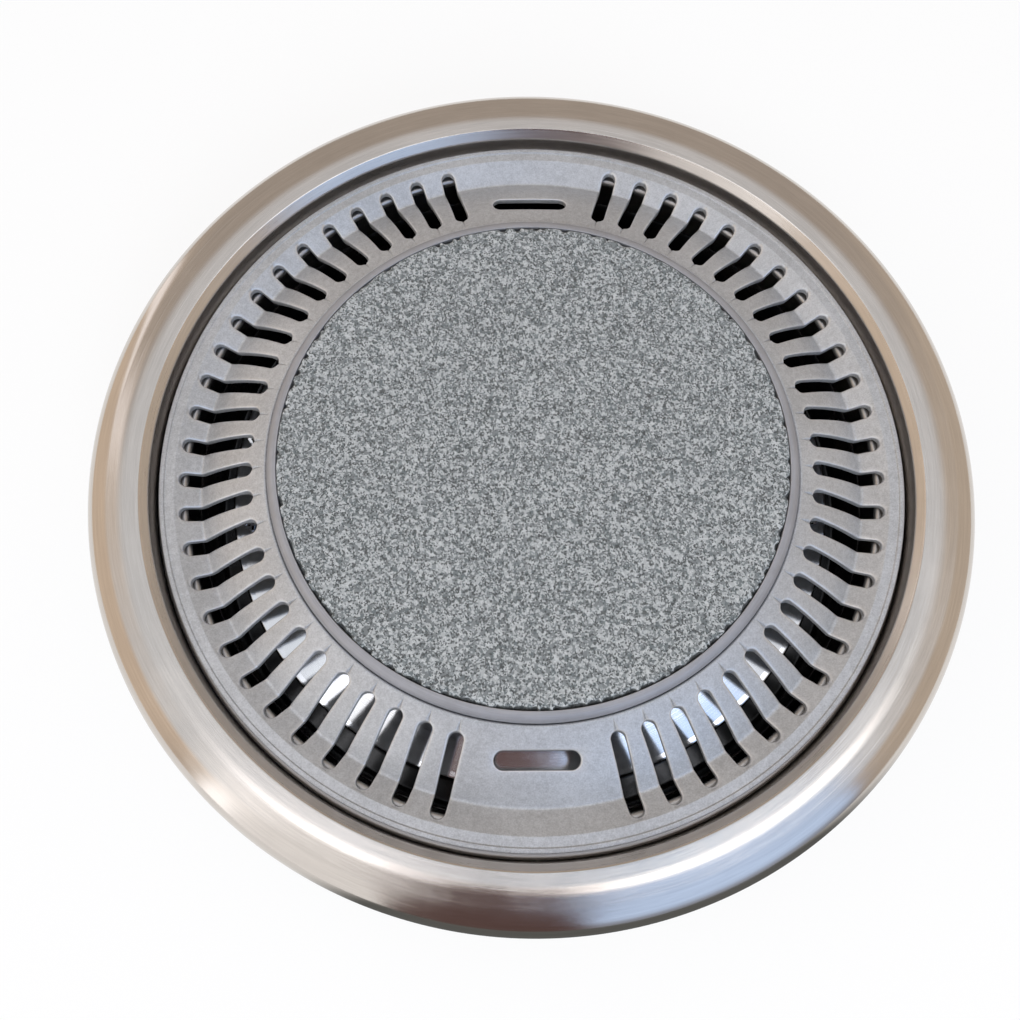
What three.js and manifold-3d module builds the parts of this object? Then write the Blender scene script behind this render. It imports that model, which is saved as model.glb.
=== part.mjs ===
// Round table-top grill pan with a granite cooking stone. A bull-nosed trim ring and a bowl form the
// base. A drip trough, a reflector, a slotted plate and the hooped stone stack in it and lift off.
// Millimetres, +Z up, origin on the table under the centre, -Y towards the cook.

import * as THREE from 'three';
import { mergeVertices } from 'three/addons/utils/BufferGeometryUtils.js';
import Module from 'manifold-3d';

const wasm = await Module();
wasm.setup();

// Fits and cuts
const fitGap = 0.3;
const cutOverrun = 2;

// Feet and their screws
const footHeight = 14;
const footTopRadius = 11;
const footBottomRadius = 9;
const footEdge = 1;
const footInset = 40;
const footCount = 4;
const footBoreDepth = 9;
const screwRadius = 2;
const screwLength = 9;
const screwHeadRadius = 4.5;
const screwHeadHeight = 2.4;

// Base bowl
const bowlSheet = 1.2;
const bowlClearance = 5.5;
const bowlCornerRadius = 6;
const fireGap = 7.2;
const fireHoleRimHeight = 2;
const bandTopMargin = 1.4;
const bandFootMargin = 4.6;

// Plate seat inside the ring
const seatSheet = 1.2;
const seatReach = 10.3;
const seatRise = 16.1;
const seatLipHeight = 2.5;
const legMargin = 1.1;

// Trim ring
const ringSheet = 1.2;
const grooveWidth = 3.2;
const lipRise = 4.9;
const lipRadius = 1.4;
const landWidth = 1;
const noseRise = 3.7;
const noseRiseEase = 2.6;
const noseInnerWidth = 14.1;
const noseOuterWidth = 10.9;
const noseDrop = 10.9;
const noseWrapAngle = Math.PI / 3;
const skirtMargin = 3.1;

// Rivets through bowl, ring and seat
const rivetRadius = 1.9;
const rivetHeadRadius = 4;
const rivetHeadHeight = 1.8;
const rivetClearance = 1.2;
const rivetCount = 6;

// Drip trough
const traySheet = 1;
const trayClearance = 1;
const collarHeight = 21;
const troughWidth = 12;
const troughHeight = 30;
const troughFlare = 1.2;
const troughCornerRadius = 3;

// Reflector and its fire collar
const reflectorSheet = 0.8;
const hookHeight = 4;
const coneRise = 3;
const fireCollarRadius = 80;
const fireCollarHeight = 20;

// Lifting bails in their ears on the reflector
const bailWire = 1.5;
const bailSpan = 36;
const bailLength = 20;
const bailCornerRadius = 6;
const bailInset = 7.5;
const bailRise = 5;
const bailStub = 4.6;
const earThickness = 1.6;
const earWidth = 7;

// Grill plate
const plateWall = 3;
const domeWidth = 32;
const slopeWidth = 10.6;
const rimThickness = 6.2;
const rimWidth = 5.6;
const rimEdge = 0.6;
const flangeWidth = 6.4;
const beadWidth = 2.4;
const beadHeight = 0.6;
const valleyDepth = 6;
const shoulderHeight = 8.8;
const domeBulge = 2;
const stoneLedgeWidth = 13;
const stoneLedgeThickness = 3;

// Slots, drain tails and tool slots in the plate
const slotPitchAngle = Math.PI / 30;
const slotFirstAngle = Math.PI / 12;
const slotsPerSide = 26;
const slotWidth = 6.2;
const slotInset = 6.7;
const slotOverrun = 9;
const tailLength = 4.8;
const tailWidth = 1;
const tailDepth = 0.6;
const toolSlotLength = 35;
const toolSlotWidth = 7.6;
const toolSlotInset = 13.6;

// Cooking stone and its hoop
const stoneRadius = 110.8;
const stoneThickness = 14;
const stoneRise = 12.8;
const stoneEdge = 0.8;
const hoopWidth = 4.6;
const hoopShoulderDrop = 3.4;
const hoopLandWidth = 1.2;
const hoopSink = 0.2;

// Smoothness
const ringSteps = 60;
const trayStepShare = 4 / 5;
const boltSteps = 8;
const footSteps = 16;
const holeSteps = 8;
const wireSides = 6;
const wireSteps = 26;
const slotEndSteps = 4;
const arcSteps = 2;
const noseSteps = 5;
const noseRiseSteps = 5;
const domeSteps = 3;
const weldTolerance = 1e-4;

// Radii that follow one another outwards from the stone to the ring
const hoopRadius = stoneRadius + fitGap;
const recessRadius = hoopRadius + hoopWidth + fitGap;
const slotInnerRadius = recessRadius + slotInset;
const toolSlotRadius = recessRadius + toolSlotInset;
const valleyRadius = recessRadius + domeWidth;
const slotOuterRadius = valleyRadius + slotOverrun;
const flangeRadius = valleyRadius + slopeWidth;
const plateRadius = flangeRadius + flangeWidth;
const skirtRadius = plateRadius + grooveWidth;
const legRadius = skirtRadius - fitGap;
const bandRadius = skirtRadius + ringSheet + fitGap;

// Radii that follow one another inwards from the seat to the fire hole
const seatInnerRadius = plateRadius - seatReach;
const trayRadius = seatInnerRadius - trayClearance - troughFlare;
const collarInnerRadius = trayRadius - 2 * traySheet - troughWidth;
const coneRadius = collarInnerRadius - fitGap - reflectorSheet;
const hookRadius = collarInnerRadius + traySheet + fitGap + reflectorSheet;
const fireHoleRadius = fireCollarRadius + reflectorSheet + fireGap;
const bowlFloorRadius = trayRadius + bowlClearance;
const footCircleRadius = bowlFloorRadius - footInset;

// Levels above the table
const floorLevel = footHeight + bowlSheet;
const trayLevel = floorLevel + fitGap;
const collarLevel = trayLevel + collarHeight;
const seatLevel = trayLevel + troughHeight + seatRise;
const plateLevel = seatLevel + fitGap + rimThickness;
const rivetLevel = seatLevel - seatSheet - rivetClearance - rivetHeadRadius;
const bandTopLevel = rivetLevel + rivetHeadRadius + bandTopMargin;
const bandFootLevel = rivetLevel - rivetHeadRadius - bandFootMargin;
const legFootLevel = rivetLevel - rivetHeadRadius - legMargin;
const skirtFootLevel = rivetLevel - rivetHeadRadius - skirtMargin;

// Rise of the reflector's cone from its hook to its fire collar, for each millimetre inwards
const coneSlope = coneRise / (coneRadius - fireCollarRadius);

// Materials
const steel = { color: 0xb7ada3, roughness: 0.3, metalness: 1 };
const polishedSteel = { color: 0xc9cbd0, roughness: 0.12, metalness: 1 };
const castAluminium = { color: 0xb9b8ba, roughness: 0.6, metalness: 0.6 };
const hoopAluminium = { color: 0xb4b2b6, roughness: 0.5, metalness: 0.7 };
const granite = { color: 0x8b9494, roughness: 0.85, metalness: 0 };
const blackEnamel = { color: 0x17171a, roughness: 0.35, metalness: 0 };

function point(radius, height) {
  return new THREE.Vector2(radius, height);
}

// Points of a quarter, half or other part of an ellipse, between two angles.
function arc(centre, radii, fromAngle, toAngle, steps) {
  const points = [];
  for (let i = 0; i <= steps; i += 1) {
    const angle = fromAngle + ((toAngle - fromAngle) * i) / steps;
    points.push(point(centre.x + radii.x * Math.cos(angle), centre.y + radii.y * Math.sin(angle)));
  }
  return points;
}

// Points of a shallow parabola from one point to another, which rises to the given bulge halfway.
function bulgedLine(from, to, bulge, steps) {
  const run = to.clone().sub(from);
  const normal = point(-run.y, run.x).normalize();
  const points = [];
  for (let i = 0; i <= steps; i += 1) {
    const share = i / steps;
    const lift = 4 * bulge * share * (1 - share);
    points.push(from.clone().addScaledVector(run, share).addScaledVector(normal, lift));
  }
  return points;
}

// A path whose inner corners are replaced by arcs, with one radius for each and zero for a sharp one.
function roundedPath(corners, radii) {
  const path = [corners[0]];
  for (let i = 1; i < corners.length - 1; i += 1) {
    const radius = radii[i - 1];
    if (radius === 0) {
      path.push(corners[i]);
      continue;
    }
    const before = corners[i - 1].clone().sub(corners[i]).normalize();
    const after = corners[i + 1].clone().sub(corners[i]).normalize();
    const halfAngle = Math.acos(before.dot(after)) / 2;
    const reach = radius / Math.tan(halfAngle);
    const bisector = before.clone().add(after).normalize();
    const centre = corners[i].clone().addScaledVector(bisector, radius / Math.sin(halfAngle));
    const start = corners[i].clone().addScaledVector(before, reach).sub(centre);
    const end = corners[i].clone().addScaledVector(after, reach).sub(centre);
    const turn = Math.atan2(start.cross(end), start.dot(end));
    for (let k = 0; k <= arcSteps; k += 1) {
      path.push(start.clone().rotateAround(point(0, 0), (turn * k) / arcSteps).add(centre));
    }
  }
  path.push(corners[corners.length - 1]);
  return path;
}

// The closed section of a bent sheet: the path is one face, and the other lies to its left.
function sheetSection(path, thickness) {
  const other = path.map((here, i) => {
    const into = here.clone().sub(path[Math.max(i - 1, 0)]).normalize();
    const out = path[Math.min(i + 1, path.length - 1)].clone().sub(here).normalize();
    const first = i === 0 ? out : into;
    const last = i === path.length - 1 ? into : out;
    const middle = point(-first.y - last.y, first.x + last.x).normalize();
    const stretch = middle.dot(point(-last.y, last.x));
    return here.clone().addScaledVector(middle, thickness / stretch);
  });
  return [...path, ...other.reverse()];
}

// A solid of revolution about Z from a section that starts and ends on the axis or is a loop.
function lathe(section, steps = ringSteps, looped = true) {
  const outline = looped ? [...section, section[0]] : [...section];
  if (THREE.ShapeUtils.area(outline) < 0) {
    outline.reverse();
  }
  const geometry = new THREE.LatheGeometry(outline, steps);
  geometry.rotateX(Math.PI / 2);
  return welded(geometry);
}

// The same surface with shared corners joined and collapsed triangles left out.
function welded(geometry) {
  const bare = new THREE.BufferGeometry();
  bare.setAttribute('position', geometry.getAttribute('position'));
  bare.setIndex(geometry.getIndex());
  const merged = mergeVertices(bare, weldTolerance);
  const corners = merged.getIndex().array;
  const kept = [];
  for (let i = 0; i < corners.length; i += 3) {
    const [a, b, c] = corners.slice(i, i + 3);
    if (a !== b && b !== c && c !== a) {
      kept.push(a, b, c);
    }
  }
  merged.setIndex(kept);
  return merged;
}

function toSolid(geometry) {
  const vertProperties = Float32Array.from(geometry.getAttribute('position').array);
  const triVerts = Uint32Array.from(geometry.getIndex().array);
  return new wasm.Manifold(new wasm.Mesh({ numProp: 3, vertProperties, triVerts }));
}

function toGeometry(solid) {
  const mesh = solid.getMesh();
  const geometry = new THREE.BufferGeometry();
  geometry.setAttribute('position', new THREE.BufferAttribute(Float32Array.from(mesh.vertProperties), 3));
  geometry.setIndex(Array.from(mesh.triVerts));
  return geometry;
}

function joined(solids) {
  return solids.reduce((sum, solid) => sum.add(solid));
}

// A copy of a geometry turned about the vertical axis.
function turned(geometry, angle) {
  return geometry.clone().rotateZ(angle);
}

function named(name, geometry, look, level = 0) {
  const mesh = new THREE.Mesh(geometry, new THREE.MeshStandardMaterial(look));
  mesh.name = name;
  mesh.position.z = level;
  return mesh;
}

// An upright block with half-round ends, along X between two radii, centred on height zero.
function roundEndedBlock(innerRadius, outerRadius, width, height) {
  const half = width / 2;
  const shape = new THREE.Shape();
  shape.absarc(outerRadius - half, 0, half, -Math.PI / 2, Math.PI / 2, false);
  shape.absarc(innerRadius + half, 0, half, Math.PI / 2, Math.PI + Math.PI / 2, false);
  shape.closePath();
  const geometry = new THREE.ExtrudeGeometry(shape, {
    depth: height,
    curveSegments: slotEndSteps / 2,
    bevelEnabled: false,
  });
  return welded(geometry.translate(0, 0, -height / 2));
}

// An upright round bar centred on the given place.
function roundBar(radius, height, x, y, z) {
  const geometry = new THREE.CylinderGeometry(radius, radius, height, holeSteps);
  return welded(geometry.rotateX(Math.PI / 2).translate(x, y, z));
}

// A round bar along X that runs through the bowl, ring and seat where a rivet sits.
function rivetHoles(level) {
  const reach = bandRadius - legRadius + bowlSheet + seatSheet + cutOverrun;
  const middle = (bandRadius + bowlSheet + legRadius - seatSheet) / 2;
  const bar = new THREE.CylinderGeometry(rivetRadius + fitGap, rivetRadius + fitGap, reach, holeSteps);
  const along = welded(bar.rotateZ(Math.PI / 2).translate(middle, 0, level));
  return joined(rivetAngles().map((angle) => toSolid(turned(along, angle))));
}

function rivetAngles() {
  return Array.from({ length: rivetCount }, (_, i) => ((i + 1 / 2) * 2 * Math.PI) / rivetCount);
}

function footAngles() {
  return Array.from({ length: footCount }, (_, i) => ((i + 1 / 2) * 2 * Math.PI) / footCount);
}

// A turned foot with a blind bore for its screw, standing on height zero.
function footGeometry() {
  const bore = screwRadius + fitGap;
  return lathe([
    point(0, 0),
    point(footBottomRadius - footEdge, 0),
    point(footBottomRadius, footEdge),
    point(footTopRadius, footHeight - fitGap),
    point(bore, footHeight - fitGap),
    point(bore, footHeight - footBoreDepth),
    point(0, footHeight - footBoreDepth),
  ], footSteps, false);
}

// A round-headed screw, head up, with the head's underside on height zero.
function screwGeometry() {
  return lathe([
    point(0, -screwLength),
    point(screwRadius, -screwLength),
    point(screwRadius, 0),
    point(screwHeadRadius, 0),
    ...arc(point(0, 0), point(screwHeadRadius, screwHeadHeight), 0, Math.PI / 2, arcSteps).slice(1),
  ], boltSteps, false);
}

// A rivet along Z: a flat head inside, a domed head outside, and the wall stack between them.
function rivetGeometry() {
  const inside = legRadius - seatSheet - fitGap;
  const outside = bandRadius + bowlSheet + fitGap;
  const head = point(rivetHeadRadius, rivetHeadHeight);
  return lathe([
    point(0, inside - rivetHeadHeight),
    point(rivetHeadRadius, inside - rivetHeadHeight),
    point(rivetHeadRadius, inside),
    point(rivetRadius, inside),
    point(rivetRadius, outside),
    point(rivetHeadRadius, outside),
    ...arc(point(0, outside), head, 0, Math.PI / 2, arcSteps).slice(1),
  ], boltSteps, false);
}

// The bowl: a flat floor with a rimmed fire hole, a leaning wall and an upright band round the ring.
function bowlGeometry() {
  const bandOuter = bandRadius + bowlSheet;
  const path = roundedPath([
    point(fireHoleRadius, fireHoleRimHeight),
    point(fireHoleRadius, -bowlSheet),
    point(bowlFloorRadius, -bowlSheet),
    point(bandOuter, bandFootLevel - floorLevel),
    point(bandOuter, bandTopLevel - floorLevel),
  ], [0, bowlCornerRadius, 0]);
  const shell = toSolid(lathe(sheetSection(path, bowlSheet)));
  const bar = roundBar(screwRadius + fitGap, bowlSheet + cutOverrun, footCircleRadius, 0, -bowlSheet / 2);
  const screwHoles = joined(footAngles().map((angle) => toSolid(turned(bar, angle))));
  return toGeometry(shell.subtract(screwHoles).subtract(rivetHoles(rivetLevel - floorLevel)));
}

// The plate's seat: a ledge with a turned-down inner lip and a leg riveted inside the ring's skirt.
function seatGeometry() {
  const path = [
    point(seatInnerRadius, -seatLipHeight),
    point(seatInnerRadius, 0),
    point(legRadius, 0),
    point(legRadius, legFootLevel - seatLevel),
  ];
  const shell = toSolid(lathe(sheetSection(path.reverse(), seatSheet)));
  return toGeometry(shell.subtract(rivetHoles(rivetLevel - seatLevel)));
}

// The trim ring, open below: skirt, rounded lip, narrow land and a bull nose that curls under.
function ringGeometry() {
  const lipCentre = point(skirtRadius + lipRadius, lipRise - lipRadius);
  const lip = arc(lipCentre, point(lipRadius, lipRadius), Math.PI, Math.PI / 2, arcSteps);
  const landEnd = skirtRadius + lipRadius + landWidth;
  const crestRadius = landEnd + noseInnerWidth;
  const rise = Array.from({ length: noseRiseSteps - 1 }, (_, i) => {
    const share = (i + 1) / noseRiseSteps;
    const height = lipRise + noseRise * (1 - (1 - share) ** noseRiseEase);
    return point(landEnd + noseInnerWidth * share, height);
  });
  const noseCentre = point(crestRadius, lipRise + noseRise - noseDrop);
  const nose = arc(noseCentre, point(noseOuterWidth, noseDrop), Math.PI / 2, -noseWrapAngle, noseSteps);
  const foot = point(skirtRadius, skirtFootLevel - plateLevel);
  const path = [foot, ...lip, point(landEnd, lipRise), ...rise, ...nose];
  const shell = toSolid(lathe(sheetSection(path.reverse(), ringSheet)));
  return toGeometry(shell.subtract(rivetHoles(rivetLevel - plateLevel)));
}

// The drip trough: outer wall, floor and the collar that the reflector hangs on.
function trayGeometry() {
  const path = roundedPath([
    point(collarInnerRadius, collarHeight),
    point(collarInnerRadius, 0),
    point(trayRadius, 0),
    point(trayRadius + troughFlare, troughHeight),
  ], [troughCornerRadius, troughCornerRadius]);
  return lathe(sheetSection(path, traySheet), ringSteps * trayStepShare);
}

// Height of the reflector's upper face above its hook's underside, at a radius.
function reflectorHeight(radius) {
  return reflectorSheet + coneSlope * (coneRadius - radius);
}

// The reflector: a hook over the collar, a shallow cone and a fire collar, with ears for the bails.
function reflectorGeometry() {
  const path = [
    point(hookRadius, reflectorSheet - hookHeight),
    point(hookRadius, reflectorSheet),
    point(coneRadius, reflectorSheet),
    point(fireCollarRadius, reflectorHeight(fireCollarRadius)),
    point(fireCollarRadius, reflectorHeight(fireCollarRadius) - fireCollarHeight),
  ];
  const shell = toSolid(lathe(sheetSection(path, reflectorSheet), ringSteps * trayStepShare));
  const ears = [];
  for (const turn of [0, Math.PI]) {
    for (const side of [-1, 1]) {
      ears.push(toSolid(turned(earGeometry(side), turn)));
    }
  }
  return toGeometry(joined([shell, ...ears]));
}

// Pivot of the bail at +X, above the hook's underside.
function bailPivot() {
  const radius = collarInnerRadius - bailInset;
  return new THREE.Vector3(radius, 0, reflectorHeight(radius) + bailRise);
}

// One ear of the bail at +X: an upright tab with a pivot hole, sunk into the reflector's sheet.
function earGeometry(side) {
  const pivot = bailPivot();
  const foot = reflectorHeight(pivot.x) - reflectorSheet / 2 - pivot.z;
  const half = earWidth / 2;
  const shape = new THREE.Shape();
  shape.moveTo(-half, foot + half * coneSlope);
  shape.lineTo(half, foot - half * coneSlope);
  shape.lineTo(half, 0);
  shape.absarc(0, 0, half, 0, Math.PI, false);
  shape.closePath();
  const hole = new THREE.Path();
  hole.absarc(0, 0, bailWire + fitGap, 0, 2 * Math.PI, true);
  shape.holes.push(hole);
  const geometry = new THREE.ExtrudeGeometry(shape, {
    depth: earThickness,
    curveSegments: holeSteps / 2,
    bevelEnabled: false,
  });
  geometry.translate(0, 0, -earThickness / 2).rotateX(Math.PI / 2);
  const offset = bailSpan / 2 + bailWire + fitGap + earThickness / 2;
  return welded(geometry.translate(pivot.x, side * offset, pivot.z));
}

// Angle below the horizontal at which the lowered bail's grip lies just over the reflector.
function bailRestAngle() {
  const slope = Math.atan(coneSlope);
  const above = bailRise * Math.cos(slope);
  return Math.asin((above - bailWire - 2 * fitGap) / bailLength) - slope;
}

// A wire bail in its own frame: pivot at the origin, grip towards -X, stubs along Y in the ears.
function bailGeometry() {
  const halfSpan = bailSpan / 2;
  const stub = halfSpan + bailStub;
  const corner = bailCornerRadius;
  const bend = bailWire * 2;
  const at = (x, y) => new THREE.Vector3(-x, y, 0);
  const path = new THREE.CurvePath();
  const line = (a, b) => path.add(new THREE.LineCurve3(a, b));
  const curve = (a, b, c) => path.add(new THREE.QuadraticBezierCurve3(a, b, c));
  line(at(0, -stub), at(0, -halfSpan - bend + bailWire));
  curve(at(0, -halfSpan - bend + bailWire), at(0, -halfSpan), at(bend, -halfSpan));
  line(at(bend, -halfSpan), at(bailLength - corner, -halfSpan));
  curve(at(bailLength - corner, -halfSpan), at(bailLength, -halfSpan), at(bailLength, -halfSpan + corner));
  line(at(bailLength, -halfSpan + corner), at(bailLength, halfSpan - corner));
  curve(at(bailLength, halfSpan - corner), at(bailLength, halfSpan), at(bailLength - corner, halfSpan));
  line(at(bailLength - corner, halfSpan), at(bend, halfSpan));
  curve(at(bend, halfSpan), at(0, halfSpan), at(0, halfSpan + bend - bailWire));
  line(at(0, halfSpan + bend - bailWire), at(0, stub));
  const section = new THREE.Shape();
  section.absarc(0, 0, bailWire, 0, 2 * Math.PI, false);
  const geometry = new THREE.ExtrudeGeometry(section, {
    steps: wireSteps,
    curveSegments: wireSides / 2,
    extrudePath: path,
    bevelEnabled: false,
  });
  return welded(geometry);
}

// Top line of the plate's dome, from its shoulder by the hoop down to the valley.
function domeLine() {
  const shoulder = point(recessRadius, shoulderHeight);
  const valley = point(valleyRadius, -valleyDepth);
  return bulgedLine(shoulder, valley, domeBulge, domeSteps);
}

// The plate without its slots: rim, flange with a bead, valley, dome and the ledge under the stone.
function plateBody() {
  const ledgeTop = stoneRise - stoneThickness - fitGap;
  const ledgeUnder = ledgeTop - stoneLedgeThickness;
  const ledgeInner = recessRadius - stoneLedgeWidth;
  const flangeTop = -beadHeight;
  const dome = domeLine();
  const slope = Math.atan((valleyDepth - beadHeight) / slopeWidth);
  const under = sheetSection([...dome, point(flangeRadius, flangeTop)].reverse(), plateWall);
  const underside = under.slice(domeSteps + 3, -1);
  const rimInner = plateRadius - rimWidth;
  const slopeFoot = point(rimInner, flangeTop - plateWall / Math.cos(slope));
  const beadCentre = point(plateRadius - beadWidth / 2, flangeTop);
  const bead = arc(beadCentre, point(beadWidth / 2, beadHeight), Math.PI, 0, arcSteps);
  return lathe([
    ...dome,
    point(flangeRadius, flangeTop),
    ...bead,
    point(plateRadius, rimEdge - rimThickness),
    point(plateRadius - rimEdge, -rimThickness),
    point(rimInner, -rimThickness),
    slopeFoot,
    ...underside.reverse(),
    point(recessRadius + plateWall, ledgeUnder),
    point(ledgeInner, ledgeUnder),
    point(ledgeInner, ledgeTop),
    point(recessRadius, ledgeTop),
  ]);
}

// Angles of the slots, measured from the cook's side, with a space at the front and the back.
function slotAngles() {
  const angles = [];
  for (let i = 0; i < slotsPerSide; i += 1) {
    const angle = slotFirstAngle + i * slotPitchAngle;
    angles.push(angle - Math.PI / 2, -angle - Math.PI / 2);
  }
  return angles;
}

// A pointed cutter for the groove that runs from a slot's inner end towards the stone.
function tailGeometry() {
  const [shoulder, next] = domeLine();
  const fall = Math.atan2(shoulder.y - next.y, next.x - shoulder.x);
  const tip = slotInnerRadius - tailLength;
  const shape = new THREE.Shape();
  shape.moveTo(0, 0);
  shape.lineTo(tailLength + slotWidth / 2, -tailWidth / 2);
  shape.lineTo(tailLength + slotWidth / 2, tailWidth / 2);
  shape.closePath();
  const geometry = new THREE.ExtrudeGeometry(shape, { depth: tailDepth + cutOverrun, bevelEnabled: false });
  geometry.translate(0, 0, -tailDepth).rotateY(fall);
  return welded(geometry.translate(tip, 0, shoulder.y - (tip - shoulder.x) * Math.tan(fall)));
}

function plateGeometry() {
  const height = 2 * (shoulderHeight + valleyDepth + plateWall + cutOverrun);
  const slot = roundEndedBlock(slotInnerRadius, slotOuterRadius, slotWidth, height);
  const slots = joined(slotAngles().map((angle) => toSolid(turned(slot, angle))));
  const tool = roundEndedBlock(-toolSlotLength / 2, toolSlotLength / 2, toolSlotWidth, height);
  const toolSlots = joined([-1, 1].map((side) => toSolid(
    tool.clone().translate(0, side * toolSlotRadius, 0),
  )));
  const tails = joined(slotAngles().map((angle) => toSolid(turned(tailGeometry(), angle))));
  return toGeometry(toSolid(plateBody()).subtract(slots).subtract(toolSlots).subtract(tails));
}

// The stone disc, with a small bevel round its top, standing on height zero.
function stoneGeometry() {
  return lathe([
    point(0, 0),
    point(stoneRadius, 0),
    point(stoneRadius, stoneThickness - stoneEdge),
    point(stoneRadius - stoneEdge, stoneThickness),
    point(0, stoneThickness),
  ], ringSteps, false);
}

// The hoop round the stone: upright inside, with a narrow land and a rounded outer shoulder.
function hoopGeometry() {
  const top = stoneThickness - hoopSink;
  const outer = hoopRadius + hoopWidth;
  const round = point(hoopWidth - hoopLandWidth, hoopShoulderDrop);
  return lathe([
    point(hoopRadius, 0),
    point(outer, 0),
    ...arc(point(outer - round.x, top - round.y), round, 0, Math.PI / 2, arcSteps),
    point(hoopRadius, top),
  ]);
}

function baseGroup() {
  const group = new THREE.Group();
  group.add(named('base_bowl', bowlGeometry(), steel, floorLevel));
  group.add(named('plate_seat', seatGeometry(), steel, seatLevel));
  group.add(named('rim_ring', ringGeometry(), steel, plateLevel));
  footAngles().forEach((angle, i) => {
    const place = new THREE.Vector3(Math.cos(angle), Math.sin(angle), 0).multiplyScalar(footCircleRadius);
    const foot = named(`foot_${i + 1}`, footGeometry(), steel);
    foot.position.copy(place);
    const screw = named(`foot_screw_${i + 1}`, screwGeometry(), steel);
    screw.position.copy(place).setZ(floorLevel + fitGap);
    group.add(foot, screw);
  });
  rivetAngles().forEach((angle, i) => {
    const rivet = named(`ring_rivet_${i + 1}`, rivetGeometry(), steel, rivetLevel);
    rivet.rotation.set(0, Math.PI / 2, angle, 'ZYX');
    group.add(rivet);
  });
  return group;
}

function trayGroup() {
  const group = new THREE.Group();
  group.add(named('drip_tray', trayGeometry(), blackEnamel, trayLevel));
  return group;
}

function reflectorGroup() {
  const group = new THREE.Group();
  group.position.z = collarLevel + fitGap;
  group.add(named('reflector', reflectorGeometry(), polishedSteel));
  [['bail_right', 0], ['bail_left', Math.PI]].forEach(([name, turn]) => {
    const carrier = new THREE.Group();
    carrier.rotation.z = turn;
    const bail = named(name, bailGeometry(), polishedSteel);
    bail.position.copy(bailPivot());
    bail.rotation.y = -bailRestAngle();
    carrier.add(bail);
    group.add(carrier);
  });
  return group;
}

function grillGroup() {
  const group = new THREE.Group();
  group.position.z = plateLevel;
  group.add(named('grill_plate', plateGeometry(), castAluminium));
  const stoneLevel = stoneRise - stoneThickness;
  group.add(named('stone_hoop', hoopGeometry(), hoopAluminium, stoneLevel));
  group.add(named('cooking_stone', stoneGeometry(), granite, stoneLevel));
  return group;
}

const pan = new THREE.Group();
pan.add(baseGroup(), trayGroup(), reflectorGroup(), grillGroup());

export default pan;
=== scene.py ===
import math

import bmesh
import bpy
import numpy as np
from bpy.props import FloatProperty, FloatVectorProperty, IntProperty, PointerProperty
from bpy.types import Operator, Panel, PropertyGroup
from mathutils import Matrix, Vector


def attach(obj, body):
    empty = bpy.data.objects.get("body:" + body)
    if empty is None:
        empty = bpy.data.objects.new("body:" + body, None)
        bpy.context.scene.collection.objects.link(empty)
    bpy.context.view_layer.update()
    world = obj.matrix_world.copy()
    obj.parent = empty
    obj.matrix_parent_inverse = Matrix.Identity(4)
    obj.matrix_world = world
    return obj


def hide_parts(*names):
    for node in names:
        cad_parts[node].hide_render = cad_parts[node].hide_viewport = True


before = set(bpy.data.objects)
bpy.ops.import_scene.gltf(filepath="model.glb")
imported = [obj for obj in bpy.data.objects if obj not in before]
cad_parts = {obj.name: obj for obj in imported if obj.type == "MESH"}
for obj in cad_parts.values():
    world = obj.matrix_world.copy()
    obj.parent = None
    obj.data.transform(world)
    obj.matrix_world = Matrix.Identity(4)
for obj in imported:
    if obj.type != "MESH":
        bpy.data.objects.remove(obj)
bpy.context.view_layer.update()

bl_info = {
    "name": "Stone Grill Pan",
    "version": (1, 0, 0),
    "blender": (4, 5, 0),
    "location": "3D View > Sidebar > Grill Pan",
    "description": "Dresses the packed grill pan with fine surfaces, metal, enamel and granite",
    "category": "Object",
}

MM = 0.001
WELD = 0.002 * MM
SAME = 1e-7  # Points of a path that lie closer than this are one point.
LEAD = 0.5 * MM  # Length of the flat that is held beside each fillet.
FIT = 0.3 * MM  # Clearance between pieces that lie in each other.


# ---------------------------------------------------------------------------------------------
# Points and outlines


def unit(vectors):
    return vectors / np.linalg.norm(vectors, axis=-1, keepdims=True)


def pair(first, second):
    """Points whose two coordinates are given apart."""
    return np.stack(np.broadcast_arrays(first, second), -1)


def polar(radius, angle):
    """Points in plan: radius times cosine and sine of the angle."""
    return pair(radius * np.cos(angle), radius * np.sin(angle))


def raised(plan, height):
    """Points in plan, brought to their heights."""
    return np.concatenate([plan, np.broadcast_to(height, plan.shape[:-1])[..., None]], -1)


def apart(path):
    """A path without the points that lie on the one before."""
    return path[np.r_[True, np.linalg.norm(np.diff(path, axis=0), axis=1) > SAME]]


def mirrored(half):
    """Rising values from zero, with their negatives before them."""
    return np.r_[-half[:0:-1], half]


def fillet(corners, radii, steps=5):
    """Points along straight lines whose inner corners are arcs of the given radii.

    An arc touches both lines at radius / tan(half angle) from the corner, and its centre lies on the
    bisector. Two more points just outside each arc keep the flats flat under smooth shading.
    """
    corners = np.asarray(corners, float)
    path = [corners[:1]]
    for before, corner, after, radius in zip(corners, corners[1:], corners[2:], radii):
        if radius == 0:
            path.append(corner[None])
            continue
        a, b = unit(before - corner), unit(after - corner)
        half = math.acos(np.clip(a @ b, -1, 1)) / 2
        centre = corner + unit(a + b) * radius / math.sin(half)
        start, end = (corner + way * radius / math.tan(half) - centre for way in (a, b))
        turn = math.atan2(start[0] * end[1] - start[1] * end[0], start @ end)
        t = np.linspace(0, turn, steps + 1)[:, None]
        arc = centre + start * np.cos(t) + np.array([-start[1], start[0]]) * np.sin(t)
        lead = min(radius, LEAD)
        path += [(arc[0] + a * lead)[None], arc, (arc[-1] + b * lead)[None]]
    return np.concatenate(path + [corners[-1:]])


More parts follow.
